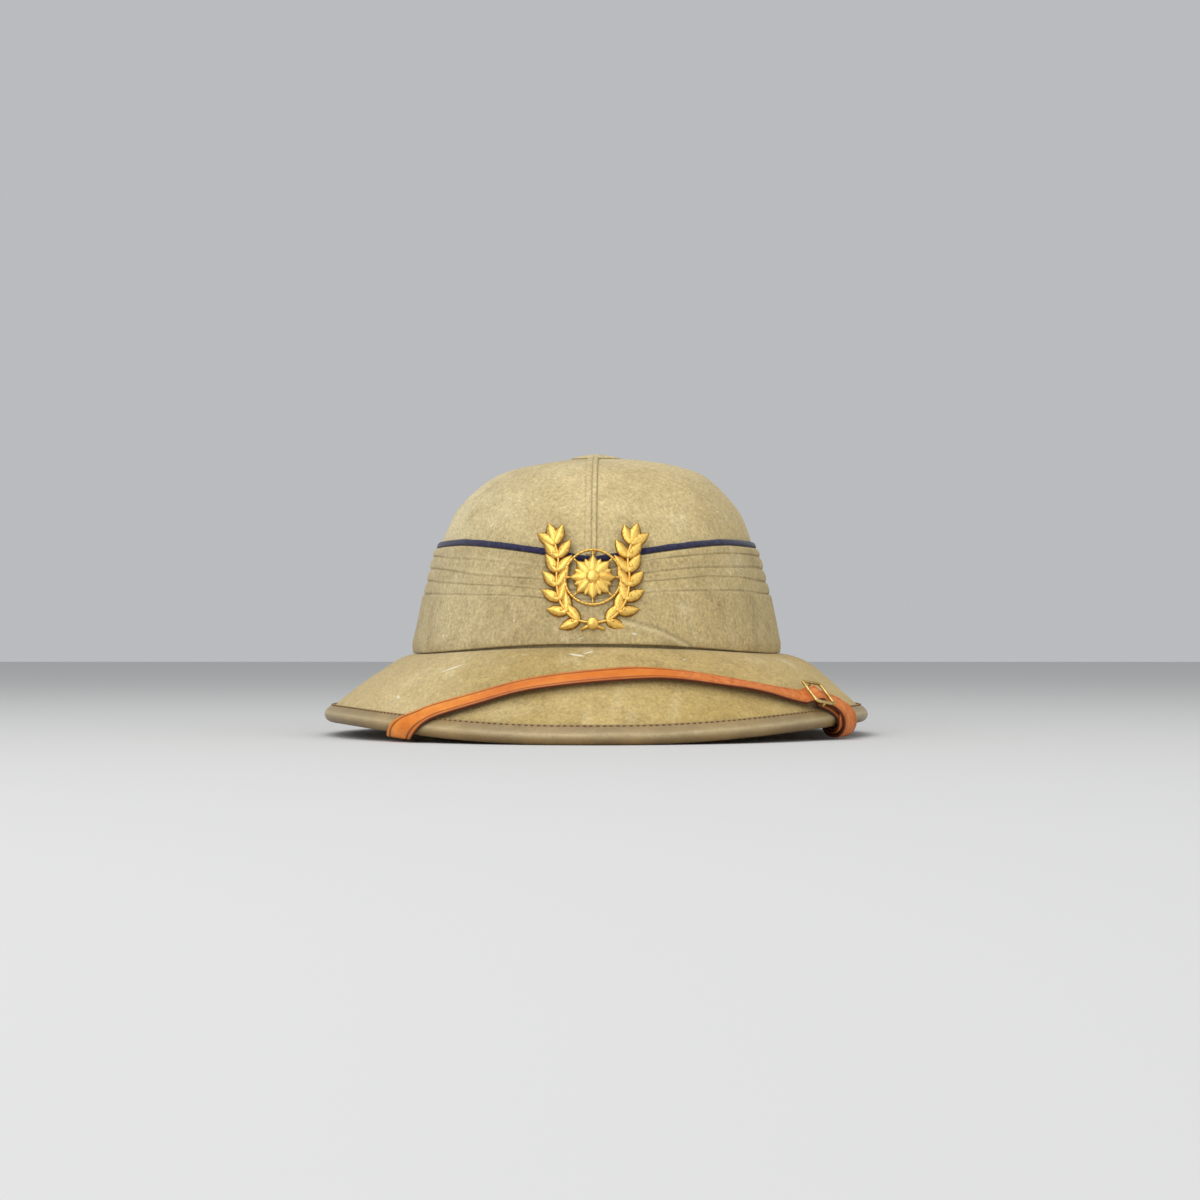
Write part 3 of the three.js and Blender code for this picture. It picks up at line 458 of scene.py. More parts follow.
# Crown: rise is a share of the dome's height, the rest are shares of its half width and half length
crown = {
    "halfWidth": 98.5, "halfLength": 119, "shift": -3.5, "wall": 6, "spring": 50, "top": 152.2,
    "ventSeat": 15.5, "columns": 120, "steps": 3,
    "sections": [
        (0, 0.997, 1.001, 1, 1), (0.117, 0.967, 0.973, 0.975, 0.97), (0.264, 0.934, 0.938, 0.95, 0.94),
        (0.411, 0.907, 0.91, 0.925, 0.91), (0.538, 0.879, 0.881, 0.895, 0.875),
        (0.641, 0.832, 0.847, 0.86, 0.83), (0.714, 0.796, 0.812, 0.825, 0.785),
        (0.778, 0.741, 0.761, 0.775, 0.73), (0.851, 0.66, 0.69, 0.7, 0.65), (0.915, 0.558, 0.609, 0.605, 0.555),
        (0.949, 0.447, 0.518, 0.515, 0.465), (0.9755, 0.305, 0.406, 0.39, 0.345),
        (0.991, 0.213, 0.305, 0.28, 0.245),
    ],
}
halfSizes = {side: crown["halfWidth" if side in ("left", "right") else "halfLength"] for side in sides}
domeHeight = crown["top"] - crown["spring"]

rim = {
    "side": 146.6, "front": 173, "back": 180, "thickness": 5, "lift": 7.6, "flatAngle": 4.6, "liftAngle": 70,
    "roots": {"left": 45, "right": 45, "front": 48.6, "back": 45.5}, "leather": 1.2, "flange": 5.5,
    "sections": [
        (0, 0, 0, 0, 0), (0.1, 0.03, 0.015, 0.02, 0.02), (0.22, 0.1, 0.055, 0.09, 0.09),
        (0.42, 0.3, 0.19, 0.29, 0.29), (0.62, 0.51, 0.46, 0.53, 0.53), (0.82, 0.75, 0.74, 0.77, 0.77),
        (1, 1, 1, 1, 1),
    ],
}
edgeRadius = rim["thickness"] / 2
rollRadius = edgeRadius + gap + rim["leather"]
flatHalf = math.radians(20)
rimHeight = rollRadius * math.cos(flatHalf)


# How much of the side's height a ring has at an angle from the front
def sideShare(angle):
    turned = math.degrees(math.asin(min(1.0, abs(math.sin(angle)))))
    return smooth((turned - rim["flatAngle"]) / (rim["liftAngle"] - rim["flatAngle"]))


# Rings hold a reach and a height for each side
def ringPoint(ring, angle):
    across, along = math.sin(angle), math.cos(angle)
    side = ring["left" if across < 0 else "right"]
    end = ring["back" if along < 0 else "front"]
    return Vector((across * side[0], crown["shift"] - along * end[0], lerp(end[1], side[1], sideShare(angle))))


def ringAngles(count):
    return [(i + 0.5) / count * 2 * math.pi for i in range(count)]


def metres(points):
    return [point * mm for point in points]


# A smooth curve through a profile's points
def curveThrough(points, steps):
    full = [2 * points[0] - points[1], *points, 2 * points[-1] - points[-2]]
    made = []
    for a, b, c, d in zip(full, full[1:], full[2:], full[3:]):
        for step in range(steps):
            t = step / steps
            made.append(0.5 * ((2 * b) + (c - a) * t + (2 * a - 5 * b + 4 * c - d) * t * t
                               + (3 * b - a - 3 * c + d) * t * t * t))
    return [*made, points[-1]]


def outsideOf(side):
    column = 1 + sides.index(side)
    points = [Vector((row[column] * halfSizes[side], crown["spring"] + row[0] * domeHeight))
              for row in crown["sections"]]
    return curveThrough([*points, Vector((crown["ventSeat"], crown["top"]))], crown["steps"])


outsides = {side: outsideOf(side) for side in sides}
outsideHeights = {side: [point.y for point in outsides[side]] for side in sides}


def crownReach(side, height):
    heights, points = outsideHeights[side], outsides[side]
    i = int(clamp(bisect.bisect_right(heights, height), 1, len(points) - 1))
    share = clamp((height - heights[i - 1]) / (heights[i] - heights[i - 1]))
    return lerp(points[i - 1].x, points[i].x, share)


def crownPoint(angle, height, out):
    return ringPoint({side: (crownReach(side, height) + out, height) for side in sides}, angle)


# Moves a profile sideways, to the right of its run, with its stretches kept parallel
def mitres(profile):
    runs = [(b - a).normalized() for a, b in zip(profile, profile[1:])]
    moves = []
    for i in range(len(profile)):
        before, after = runs[max(0, i - 1)], runs[min(len(runs) - 1, i)]
        middle = (before + after).normalized()
        moves.append(Vector((middle.y, -middle.x)) / max(0.5, middle.dot(before)))
    return moves


def offset(profile, distance):
    return [point + move * distance for point, move in zip(profile, mitres(profile))]


def ringsOf(profiles):
    return [dict(zip(sides, points)) for points in zip(*(profiles[side] for side in sides))]


def buildCrown():
    profiles = {}
    for side in sides:
        foot = Vector((crownReach(side, crown["spring"]), rim["roots"][side] - rim["thickness"]))
        outside = [foot, lerp(foot, outsides[side][0], 0.5), *outsides[side]]
        wall = offset(outside, -crown["wall"])
        wall[-1] = Vector((crown["ventSeat"], crown["top"] - crown["wall"]))
        lower = [foot + Vector((-1, 0.2)), foot + Vector((-3, 0))]
        inner = [foot + Vector((2 - crown["wall"], 0)), foot + Vector((-crown["wall"], 2))]
        profiles[side] = [*reversed(wall[2:]), *reversed(inner), *reversed(lower), *outside]
    angles = ringAngles(crown["columns"])
    rings = [metres([ringPoint(ring, angle) for angle in angles]) for ring in ringsOf(profiles)]
    inside = len(rings) - len(outsides["front"]) - 2
    bm, faceRows = loft(rings, closed=False)
    for face, row in faceRows.items():
        face.material_index = 1 if row < inside else 0
    return addPiece("crown_cover", bm, [crownCloth, liningCloth], ["crown"], 1)


buildCrown()
print("crown made")

# Brim
edges = {
    "left": Vector((rim["side"], rimHeight + rim["lift"])), "right": Vector((rim["side"], rimHeight + rim["lift"])),
    "front": Vector((rim["front"], rimHeight)), "back": Vector((rim["back"], rimHeight)),
}


def rootReach(side):
    return crownReach(side, crown["spring"]) + gap


def edgeSlope(side):
    fore, last = rim["sections"][-2:]
    column = 1 + sides.index(side)
    run = (last[0] - fore[0]) * (edges[side].x - rootReach(side))
    return math.atan2((last[column] - fore[column]) * (rim["roots"][side] - edges[side].y), run)


def offEdge(side, angle, distance):
    return edges[side] + Vector((math.cos(angle), math.sin(angle))) * distance


def brimTop(side):
    column = 1 + sides.index(side)
    end = offEdge(side, math.pi / 2 - edgeSlope(side), edgeRadius)
    return [Vector((lerp(rootReach(side), end.x, row[0]), lerp(rim["roots"][side], end.y, row[column])))
            for row in rim["sections"]]


def brimUnder(side):
    under = offset(brimTop(side), rim["thickness"])[::-1]
    under[-1] = Vector((rootReach(side), rim["roots"][side] - rim["thickness"]))
    return under


def lastStretch(side):
    share = rim["sections"][-1][0] - rim["sections"][-2][0]
    return share * (edges[side].x - rootReach(side)) / math.cos(edgeSlope(side))


# Moves a point up the brim's last stretch by a length given at the front, and in proportion elsewhere
def upSlope(side, point, frontLength):
    length = frontLength * lastStretch(side) / lastStretch("front")
    slope = edgeSlope(side)
    return point + Vector((-math.cos(slope), math.sin(slope))) * length


def rollStart(side):
    return math.pi / 2 - edgeSlope(side)


def rollEnd(side):
    return -math.pi / 2 - edgeSlope(side)


def buildBrim():
    profiles = {}
    for side in sides:
        arc = [offEdge(side, lerp(rollStart(side), rollEnd(side), share), edgeRadius)
               for share in (0.15, 0.3, 0.5, 0.7, 0.85)]
        profiles[side] = [*curveThrough(brimTop(side), 3), *arc, *curveThrough(brimUnder(side), 2)]
    angles = ringAngles(crown["columns"])
    rings = [metres([ringPoint(ring, angle) for angle in angles]) for ring in ringsOf(profiles)]
    # Painted shade on the brim next to the crown, under the pugaree, fading outwards
    tones = [0.45, 0.28, 0.16, 0.13, 0.12, 0.11, 0.1, 0.09, 0.07, 0.05, 0.03] + [0.0] * (len(rings) - 11)
    bm, _ = loft(rings, tones=tones)
    return addPiece("brim_cover", bm, brimCloth, ["brim"], 1)


buildBrim()
print("brim made")

# Binding: rows of its outside are an angle share round the roll or a length up the flange, and a height
binding = {"columns": 360, "stitchPitch": 3.3, "stitchUp": 4.45, "stitchLength": 1.8, "threadRadius": 0.4}


def bindingProfile(side):
    start, end = rollStart(side), rollEnd(side)
    inner = edgeRadius + gap

    def upper(length, height):
        return upSlope(side, offEdge(side, start, inner + height), length)

    def lower(length, height):
        return upSlope(side, offEdge(side, end, inner + height), length)

    points = [upper(5.6, 0.1), upper(5.6, 0.6), upper(5.35, 0.88), upper(5.0, 0.9), upper(4.75, 0.78),
              upper(4.45, 0.55), upper(4.1, 0.8), upper(2.6, 1.08), upper(0.8, 1.2)]
    points += [offEdge(side, lerp(start, end, share), rollRadius + swell)
               for share, swell in ((0.04, 0.05), (0.12, 0.12), (0.22, 0.14), (0.33, 0.1), (0.45, 0.05), (0.57, 0),
                                    (0.69, 0), (0.82, 0), (0.94, 0))]
    points += [lower(0.8, 1.15), lower(2.6, 0.8), lower(3.1, 0.6), lower(3.6, 0.85), lower(5.3, 1.0), lower(5.6, 0.6),
               lower(5.6, 0.1)]
    points += [offEdge(side, lerp(start, end, share), inner) for share in (1, 0.8, 0.6, 0.4, 0.2, 0)]
    return points


# Painted shade: darker down the underside of the roll, on the lower flange and inside; the upper flange is also darker
# at its edge and in the stitch dip
bindingTones = [0.35, 0.2, 0.05, 0, 0.08, 0.28, 0.12, 0.05, 0, 0, 0, 0, 0, 0.05, 0.1, 0.15, 0.2, 0.25, 0.25, 0.3,
                0.5, 0.6, 0.4, 0.2, 0.3, 0.5, 0.5, 0.5, 0.5, 0.5, 0.5]


# Paler along the upper flange, with a painted highlight line along the top of the roll
bindingPaleAndHighlight = [0.25] * 3 + [0.35] * 5 + [0.4, 0.6, 1.0, 0.6, 0.15, 0] + [0] * 17


def buildBinding():
    profiles = {side: bindingProfile(side) for side in sides}
    angles = ringAngles(binding["columns"])
    rings = []
    for row, ring in enumerate(ringsOf(profiles)):
        points = []
        for angle in angles:
            point = ringPoint(ring, angle)
            if 8 <= row <= 15:
                lump = waver(angle, 3, 22) * 0.16 + waver(angle, 5, 60) * 0.07
                out = Vector((point.x / 150, (point.y - crown["shift"]) / 180, 0)).normalized()
                point += out * (lump - 0.1)
            point.z = max(point.z, 0.02)
            points.append(point)
        rings.append(metres(points))
    bm, _ = loft(rings, tones=bindingTones, wearsAndHighlights=bindingPaleAndHighlight)
    return addPiece("binding_leather", bm, edgeLeather, ["brim_binding"], 1)


buildBinding()


# Stitches are short rounded threads, each from a point to the next
def addStitches(name, pairs, radius, finish, sink=0.3):
    bm = bmesh.new()
    for start, end, up in pairs:
        along = (end - start).normalized()
        side = up.cross(along).normalized()
        made = bmesh.ops.create_circle(bm, segments=6, radius=radius)["verts"]
        edgeLoop = list({edge for vert in made for edge in vert.link_edges})
        turn = Matrix((side, up, along)).transposed()
        sections = [(0, 0.45, -sink), (0.12, 0.85, 0.0), (0.5, 1.0, 0.35), (0.88, 0.85, 0.0), (1, 0.45, -sink)]
        rest = [vert.co.copy() for vert in made]
        verts = made
        bmesh.ops.contextual_create(bm, geom=edgeLoop)
        for step, (share, wide, rise) in enumerate(sections):
            centre = lerp(start, end, share) + up * radius * rise
            if step:
                grown = bmesh.ops.extrude_edge_only(bm, edges=edgeLoop)["geom"]
                fresh = [part for part in grown if isinstance(part, bmesh.types.BMVert)]
                order = {next(e.other_vert(v) for e in v.link_edges if e.other_vert(v) in verts): v for v in fresh}
                edgeLoop = [part for part in grown
                            if isinstance(part, bmesh.types.BMEdge) and all(v in fresh for v in part.verts)]
                verts = [order[vert] for vert in verts]
            for vert, at in zip(verts, rest):
                vert.co = centre + turn @ (at * wide)
        bmesh.ops.contextual_create(bm, geom=edgeLoop)
    bmesh.ops.recalc_face_normals(bm, faces=bm.faces)
    return addPiece(name, bm, finish)


# Places along a ring at even lengths
def evenAngles(pointAt, pitch, start=0.0, end=2 * math.pi, closed=True):
    fine = 2400
    angles = [lerp(start, end, i / fine) for i in range(fine + 1)]
    points = [pointAt(angle) for angle in angles]
    sums = [0.0]
    for a, b in zip(points, points[1:]):
        sums.append(sums[-1] + (b - a).length)
    count = round(sums[-1] / pitch)
    found = []
    for i in range(count):
        i = bisect.bisect_left(sums, sums[-1] * i / count)
        found.append(angles[i])
    return found


def stitchBinding():
    profiles = {side: [upSlope(side, offEdge(side, rollStart(side), edgeRadius + gap + height), binding["stitchUp"])
                       for height in (0.75, 1.75)] for side in sides}
    seat, above = ringsOf(profiles)
    pairs = []
    for i, angle in enumerate(evenAngles(lambda a: ringPoint(seat, a), binding["stitchPitch"])):
        point = ringPoint(seat, angle)
        ahead = (ringPoint(seat, angle + 0.002) - point).normalized()
        up = (ringPoint(above, angle) - point).normalized()
        half = ahead * binding["stitchLength"] / 2
        pairs.append(((point - half) * mm, (point + half) * mm, up))
    addStitches("binding_stitches", pairs, binding["threadRadius"] * mm, brownThread)


stitchBinding()
print("binding made")

# Pugaree: the folds' lower lines are shares of its height, at the left front, the right front and elsewhere
pugaree = {
    "bottoms": {"left": 45.7, "right": 45.7, "front": 49.8, "back": 46.4}, "top": 102.6, "frontDip": 11,
    "dipAngle": 55, "bandDepth": 4.6, "lowDepth": 3.3, "highDepth": 1.5, "foldDepth": 1.2,
    "foldsLeft": (0.52, 0.62, 0.715, 0.86, 1), "foldsRight": (0.565, 0.70, 0.79, 0.925, 1),
    "folds": (0.55, 0.675, 0.80, 0.92, 1), "bandRows": 22, "columns": 280, "crowding": 0.45,
    "stripeHeight": 3.3, "stripeDepth": 1.5,
    "overlap": [(-4, 66), (12, 63), (22, 60.7), (32, 57.7), (39.5, 54.3), (47.5, 50.4), (54, 45)],
    "overlapStep": 1.25, "sideSink": 0.9,
}


def pugareeHeight(angle, rise, above=0.0):
    bottom = ringPoint({side: (0, pugaree["bottoms"][side]) for side in sides}, angle).z
    turned = abs((angle + math.pi) % (2 * math.pi) - math.pi)
    dip = pugaree["frontDip"] * max(0.0, 1 - turned / math.radians(pugaree["dipAngle"])) ** 1.5
    return lerp(bottom, pugaree["top"] - dip, rise) + above


# Columns stand closer together at the front
def crowdedAngles(count):
    return [a - pugaree["crowding"] * math.sin(a) for a in ringAngles(count)]


def fromFront(angle):
    return math.degrees((angle + math.pi) % (2 * math.pi) - math.pi)


def foldLine(i, angle):
    turned = fromFront(angle)
    near = 1 - smooth((abs(turned) - 38) / 40)
    front = lerp(pugaree["foldsLeft"][i], pugaree["foldsRight"][i], smooth((turned + 18) / 36))
    line = lerp(pugaree["folds"][i], front, near)
    return line if i == len(pugaree["folds"]) - 1 else line + waver(angle, 11 + i, 4) * 0.012


# How strongly a fold shows: pressed flat at the front, rolled at the sides and the back
def foldForce(i, angle):
    turned = fromFront(angle)
    rolled = smooth((abs(turned) - 50) / 32)
    faint = 0.2 if i == 3 and turned < 0 else 0.62
    patchy = clamp(0.75 + waver(angle, 51 + i, 5) * 0.9, 0.15, 1.0)
    return lerp(faint * patchy, 0.8 + 0.2 * patchy, rolled)


# How far inside the overlapping layer a point is, how near the groove along its slanting edge, and how near its ridge
def overlapAt(point):
    line = pugaree["overlap"]
    if point.y > 0 or not line[0][0] < point.x < line[-1][0]:
        return 0.0, 0.0, 0.0
    i = next(n for n in range(1, len(line)) if line[n][0] >= point.x)
    share = (point.x - line[i - 1][0]) / (line[i][0] - line[i - 1][0])
    edge = lerp(line[i - 1][1], line[i][1], share)
    grow = smooth((point.x - line[0][0]) / 26)
    under = edge - point.z
    return (smooth((under + 0.3) / 1.5) * grow, math.exp(-(((under + 0.9) / 0.9) ** 2)) * grow,
            math.exp(-(((under - 1.2) / 0.9) ** 2)) * grow)


def buildPugaree():
    angles = crowdedAngles(pugaree["columns"])
    # Rows are a share, a bulge and a tone: a positive tone is painted shade in the grooves and at the band's edges, a
    # negative one a painted highlight with some rubbed wear along a fold's rounded lower edge
    band = [(0, 0.5, 0.6), (0.004, 0.68, 0.3), (0.02, 0.77, 0)]
    for i in range(1, pugaree["bandRows"] - 1):
        share = lerp(0.03, 0.96, i / (pugaree["bandRows"] - 1))
        band.append((share, lerp(0.78, 1.0, share ** 0.7), 0))
    band += [(0.97, 1.0, 0), (0.99, 0.97, 0), (1.0, 0.88, 0.3)]
    fold = ((0.03, -0.12, 0.5), (0.1, 0.42, 0.12), (0.22, 0.85, -0.55), (0.34, 1.0, -0.2), (0.48, 1.05, 0),
            (0.66, 1.0, 0), (0.82, 0.82, 0), (0.92, 0.6, 0.05), (0.985, 0.25, 0.25))
    rows = [(None, *row) for row in band] + [(i, *row) for i in range(4) for row in fold] + [(4, 0, 0, 0.2)]
    rings, tones, wearsAndHighlights = [], [], []
    for kind, share, bulge, tone in rows:
        points, ringTones, ringHighlightsAndWear = [], [], []
        for angle in angles:
            dark, pale, sink = max(0, tone), max(0, -tone), 0.0
            if kind is None:
                rise = share * foldLine(0, angle)
                out = bulge * pugaree["bandDepth"]
                sink = pugaree["sideSink"] * sideShare(angle) * max(0.0, 1 - share / 0.08)
            elif kind == 4:
                rise, out = 1.0, pugaree["highDepth"]
            else:
                low, high = foldLine(kind, angle), foldLine(kind + 1, angle)
                rise = lerp(low, high, share)
                base = lerp(pugaree["lowDepth"], pugaree["highDepth"], (rise - 0.5) / 0.5)
                force = foldForce(kind, angle)
                out = base + lerp(0.62, bulge, force) * pugaree["foldDepth"]
                dark *= force
            sag = waver(angle, 31, 7, rise * 2.5) * 0.35 + waver(angle, 33, 24, rise * 5) * 0.1
            height = pugareeHeight(angle, rise, -sink)
            over, edge, ridge = overlapAt(crownPoint(angle, height, out + gap + sag))
            points.append(crownPoint(angle, height, out + gap + sag + over * pugaree["overlapStep"]))
            # Painted shade in the groove along the overlap's slanting edge, and a painted highlight with some rubbed
            # wear on its ridge
            ringTones.append(max(dark, edge * 0.5))
            ringHighlightsAndWear.append(max(pale * clamp(0.7 + waver(angle, 71, 9)), ridge * 0.6))
        rings.append(metres(points))
        tones.append(ringTones)
        wearsAndHighlights.append(ringHighlightsAndWear)
    for share in (0.98, 0.85, 0.7, 0.55, 0.4, 0.25, 0.1, 0.01):
        rings.append(metres([crownPoint(angle, pugareeHeight(angle, share), gap) for angle in angles]))
        tones.append([0.0] * len(angles))
        wearsAndHighlights.append([0.0] * len(angles))
    bm, _ = loft(rings, tones=tones, wearsAndHighlights=wearsAndHighlights)
    return addPiece("pugaree_wrap", bm, wrapCloth, ["pugaree"], 1)


buildPugaree()


def buildStripe():
    outline = [(0, 0.1), (0, 0.8), (0.15, 1.08), (0.5, 1.15), (0.85, 1.0), (1, 0.6), (1, 0.1)]
    angles = crowdedAngles(pugaree["columns"])
    rings = []
    for up, out in outline:
        points = []
        for angle in angles:
            wave = waver(angle, 41, 14) * 0.25
            height = pugareeHeight(angle, 1, gap + up * (pugaree["stripeHeight"] + wave))
            points.append(crownPoint(angle, height, gap + out * pugaree["stripeDepth"]))
        rings.append(metres(points))
    bm, _ = loft(rings)
    return addPiece("stripe_fold", bm, navyCloth, ["pugaree_stripe"], 1)


buildStripe()
print("pugaree made")

# Welts: x across the seam and how far off the crown, as one closed section
welt = {
    "section": [(-4.2, 0), (-4.25, 0.1), (-3.9, 0.24), (-2.6, 0.4), (-1.4, 0.45), (-0.95, 0.3), (-0.6, 0.6),
                (-0.2, 1.15), (0.5, 1.45), (1.2, 1.3), (1.7, 0.8), (1.95, 0.25), (2.2, 0)],
    # The tones are painted shade, darkest in the stitch groove and under the folded edge
    "tones": [0.12, 0.08, 0, 0, 0.08, 0.5, 0.15, 0, 0, 0, 0.15, 0.55, 0.5],
    "stitchAt": -0.95, "stitchPitch": 2.3, "stitchLength": 1.5,
}


def weltPoint(end, share, x, out):
    facing = -1 if end == "front" else 1
    angle = 0.0 if end == "front" else math.pi
    foot = pugareeHeight(angle, 1, 3 * gap + pugaree["stripeHeight"])
    points = [point for point in outsides[end] if point.y > foot + 1]
    path = [Vector((crownReach(end, foot), foot)), *points[:-1], Vector((15.2, crown["top"] - 0.05))]
    lifted = offset(path, out)
    at = share * (len(path) - 1)
    i = min(int(at), len(path) - 2)
    point = lerp(lifted[i], lifted[i + 1], at - i)
    return Vector((x * -facing, crown["shift"] + facing * point.x, point.y))


def buildWelt(end):
    steps = 60
    rings = [metres([weltPoint(end, i / steps, x, out + 0.12) for x, out in welt["section"]])
             for i in range(steps + 1)]
    bm, _ = loft(rings, closed=False, tones=[welt["tones"]] * len(rings))
    addPiece("welt_" + end, bm, crownCloth, ["crown_welt_" + end], 1)
    pairs, length, last = [], 0.0, None
    for i in range(2401):
        point = weltPoint(end, i / 2400, welt["stitchAt"], 0.55)
        length += (point - last).length if last else 0.0
        if last and length >= welt["stitchPitch"]:
            ahead = (point - last).normalized() * welt["stitchLength"] / 2
            up = (weltPoint(end, i / 2400, welt["stitchAt"], 1.55) - point).normalized()
            pairs.append(((point - ahead) * mm, (point + ahead) * mm, up))
            length = 0.0
        last = point
    addStitches("welt_stitches_" + end, pairs, 0.24 * mm, khakiThread)


for end in ("front", "back"):
    buildWelt(end)


def buildVent():
    outline = [(0, 0), (0.9, 0), (1, 0.06), (1.01, 0.2), (0.97, 0.34), (0.86, 0.46), (0.7, 0.62), (0.5, 0.8),
               (0.28, 0.94), (0.1, 1.0)]
    rings = []
    for out, up in outline:
        radius = max(out, 0.02) * 14.2
        rings.append(metres([Vector((radius * math.sin(a), crown["shift"] - radius * math.cos(a),
                                     crown["top"] + gap + up * 3.4)) for a in ringAngles(48)]))
    # Painted shade round the foot of the cap
    bm, _ = loft(rings, closed=False, tones=[0.5, 0.5, 0.4, 0.15] + [0.0] * 6)
    return addPiece("vent_button", bm, crownCloth, ["vent_cap"], 1)


buildVent()
print("welts and ventilator made")

# Badge: laid out flat with x to the right, y up and z towards the viewer, then bent and set on the front
badge = {
    "height": 84.5, "stand": 5.6, "lean": 14, "bendAcross": 75, "bendUp": 180, "thickness": 1.6,
    "halfWidth": 20.5, "halfHeight": 24.5, "stem": 1.2, "leafLength": 12, "leafWidth": 6.6, "pairs": 7,
    "spread": 36, "rosette": 11, "petals": 8, "petalWidth": 7, "boss": 3.4, "bossHeight": 3.0, "ring": 14.6,
    "wire": 1.0, "knot": 3.2,
    "spray": [(0.03, -1), (0.5, -0.87), (0.83, -0.5), (0.92, 0), (0.88, 0.45), (1, 0.86)],
}
badgePlace = (Matrix.Translation((0, crown["shift"] - crownReach("front", badge["height"]) - badge["stand"],
                                  badge["height"]))
              @ Matrix.Rotation(math.pi / 2 - math.radians(badge["lean"]), 4, "X"))


# A leaf or petal: a grid drawn out to a point, with a rib, veins and a turned-down edge
def addLeaf(bm, toneLayer, root, angle, length, width, thickness, veins=5, cup=0.0):
    rows, columns = 10, 6
    verts = bmesh.ops.create_grid(bm, x_segments=rows, y_segments=columns, size=0.5)["verts"]
    turn = Matrix.Rotation(angle, 4, "Z")
    border = [edge for edge in {e for v in verts for e in v.link_edges} if len(edge.link_faces) == 1]
    for vert in verts:
        along, across = vert.co.x + 0.5, vert.co.y * 2
        wide = (0.16 + 0.84 * math.sin(math.pi * clamp(along * 0.93 + 0.04) ** 0.85) ** 0.8) * (1 - along ** 6 * 0.75)
        rib = math.exp(-((across / 0.16) ** 2)) * 0.32
        vein = (0.5 + 0.5 * math.cos((along * veins - abs(across) * 1.1) * 2 * math.pi)) * 0.2 * (1 - abs(across) ** 3)
        crownUp = (1 - abs(across) ** 2.4) * 0.55 + 0.1
        high = thickness * (crownUp + rib + vein) * (1 - 0.35 * along ** 2) + cup * along ** 2
        vert[toneLayer] = clamp((crownUp - 0.1) * 0.9 + rib + vein * 1.2)
        vert.co = root + turn @ Vector((along * length, across * width / 2 * wide, high))
    grown = bmesh.ops.extrude_edge_only(bm, edges=border)["geom"]
    base = [part for part in grown if isinstance(part, bmesh.types.BMVert)]
    for vert in base:
        vert.co.z = 0
        vert[toneLayer] = 0.0
    bmesh.ops.contextual_create(bm, geom=[part for part in grown if isinstance(part, bmesh.types.BMEdge)
                                          and all(v in base for v in part.verts)])


def addRod(bm, toneLayer, points, width, height, closed=False):
    count = len(points)
    section = [(-1, 0), (-0.92, 0.55), (-0.5, 0.92), (0, 1.0), (0.5, 0.92), (0.92, 0.55), (1, 0)]
    rings = []
    for i, point in enumerate(points):
        before = points[(i - 1) % count if closed else max(0, i - 1)]
        after = points[(i + 1) % count if closed else min(count - 1, i + 1)]
        run = (after - before).normalized()
        side = Vector((-run.y, run.x, 0))
        rings.append([point + side * across * width / 2 + Vector((0, 0, up * height)) for across, up in section])
    part, _ = loft(rings, closed=closed, tones=[[up for _, up in section]] * len(rings))
    mesh = bpy.data.meshes.new("rod")
    part.to_mesh(mesh)
    part.free()
    bm.from_mesh(mesh)
    bpy.data.meshes.remove(mesh)


def addBall(bm, toneLayer, centre, radius, flat=0.8, detail=2):
    made = bmesh.ops.create_icosphere(bm, subdivisions=detail, radius=radius)["verts"]
    for vert in made:
        vert[toneLayer] = clamp(0.3 + vert.co.z / radius)
        vert.co = Vector((vert.co.x, vert.co.y, max(vert.co.z * flat, -centre.z))) + centre


def stemCurve(hand):
    points = [Vector((hand * across * badge["halfWidth"], up * badge["halfHeight"], 0))
              for across, up in badge["spray"]]
    return curveThrough(points, 12)


def alongCurve(points, share):
    sums = [0.0]
    for a, b in zip(points, points[1:]):
        sums.append(sums[-1] + (b - a).length)
    length = sums[-1] * share
    i = int(clamp(bisect.bisect_right(sums, length), 1, len(points) - 1))
    return (lerp(points[i - 1], points[i], (length - sums[i - 1]) / (sums[i] - sums[i - 1])),
            (points[i] - points[i - 1]).normalized())


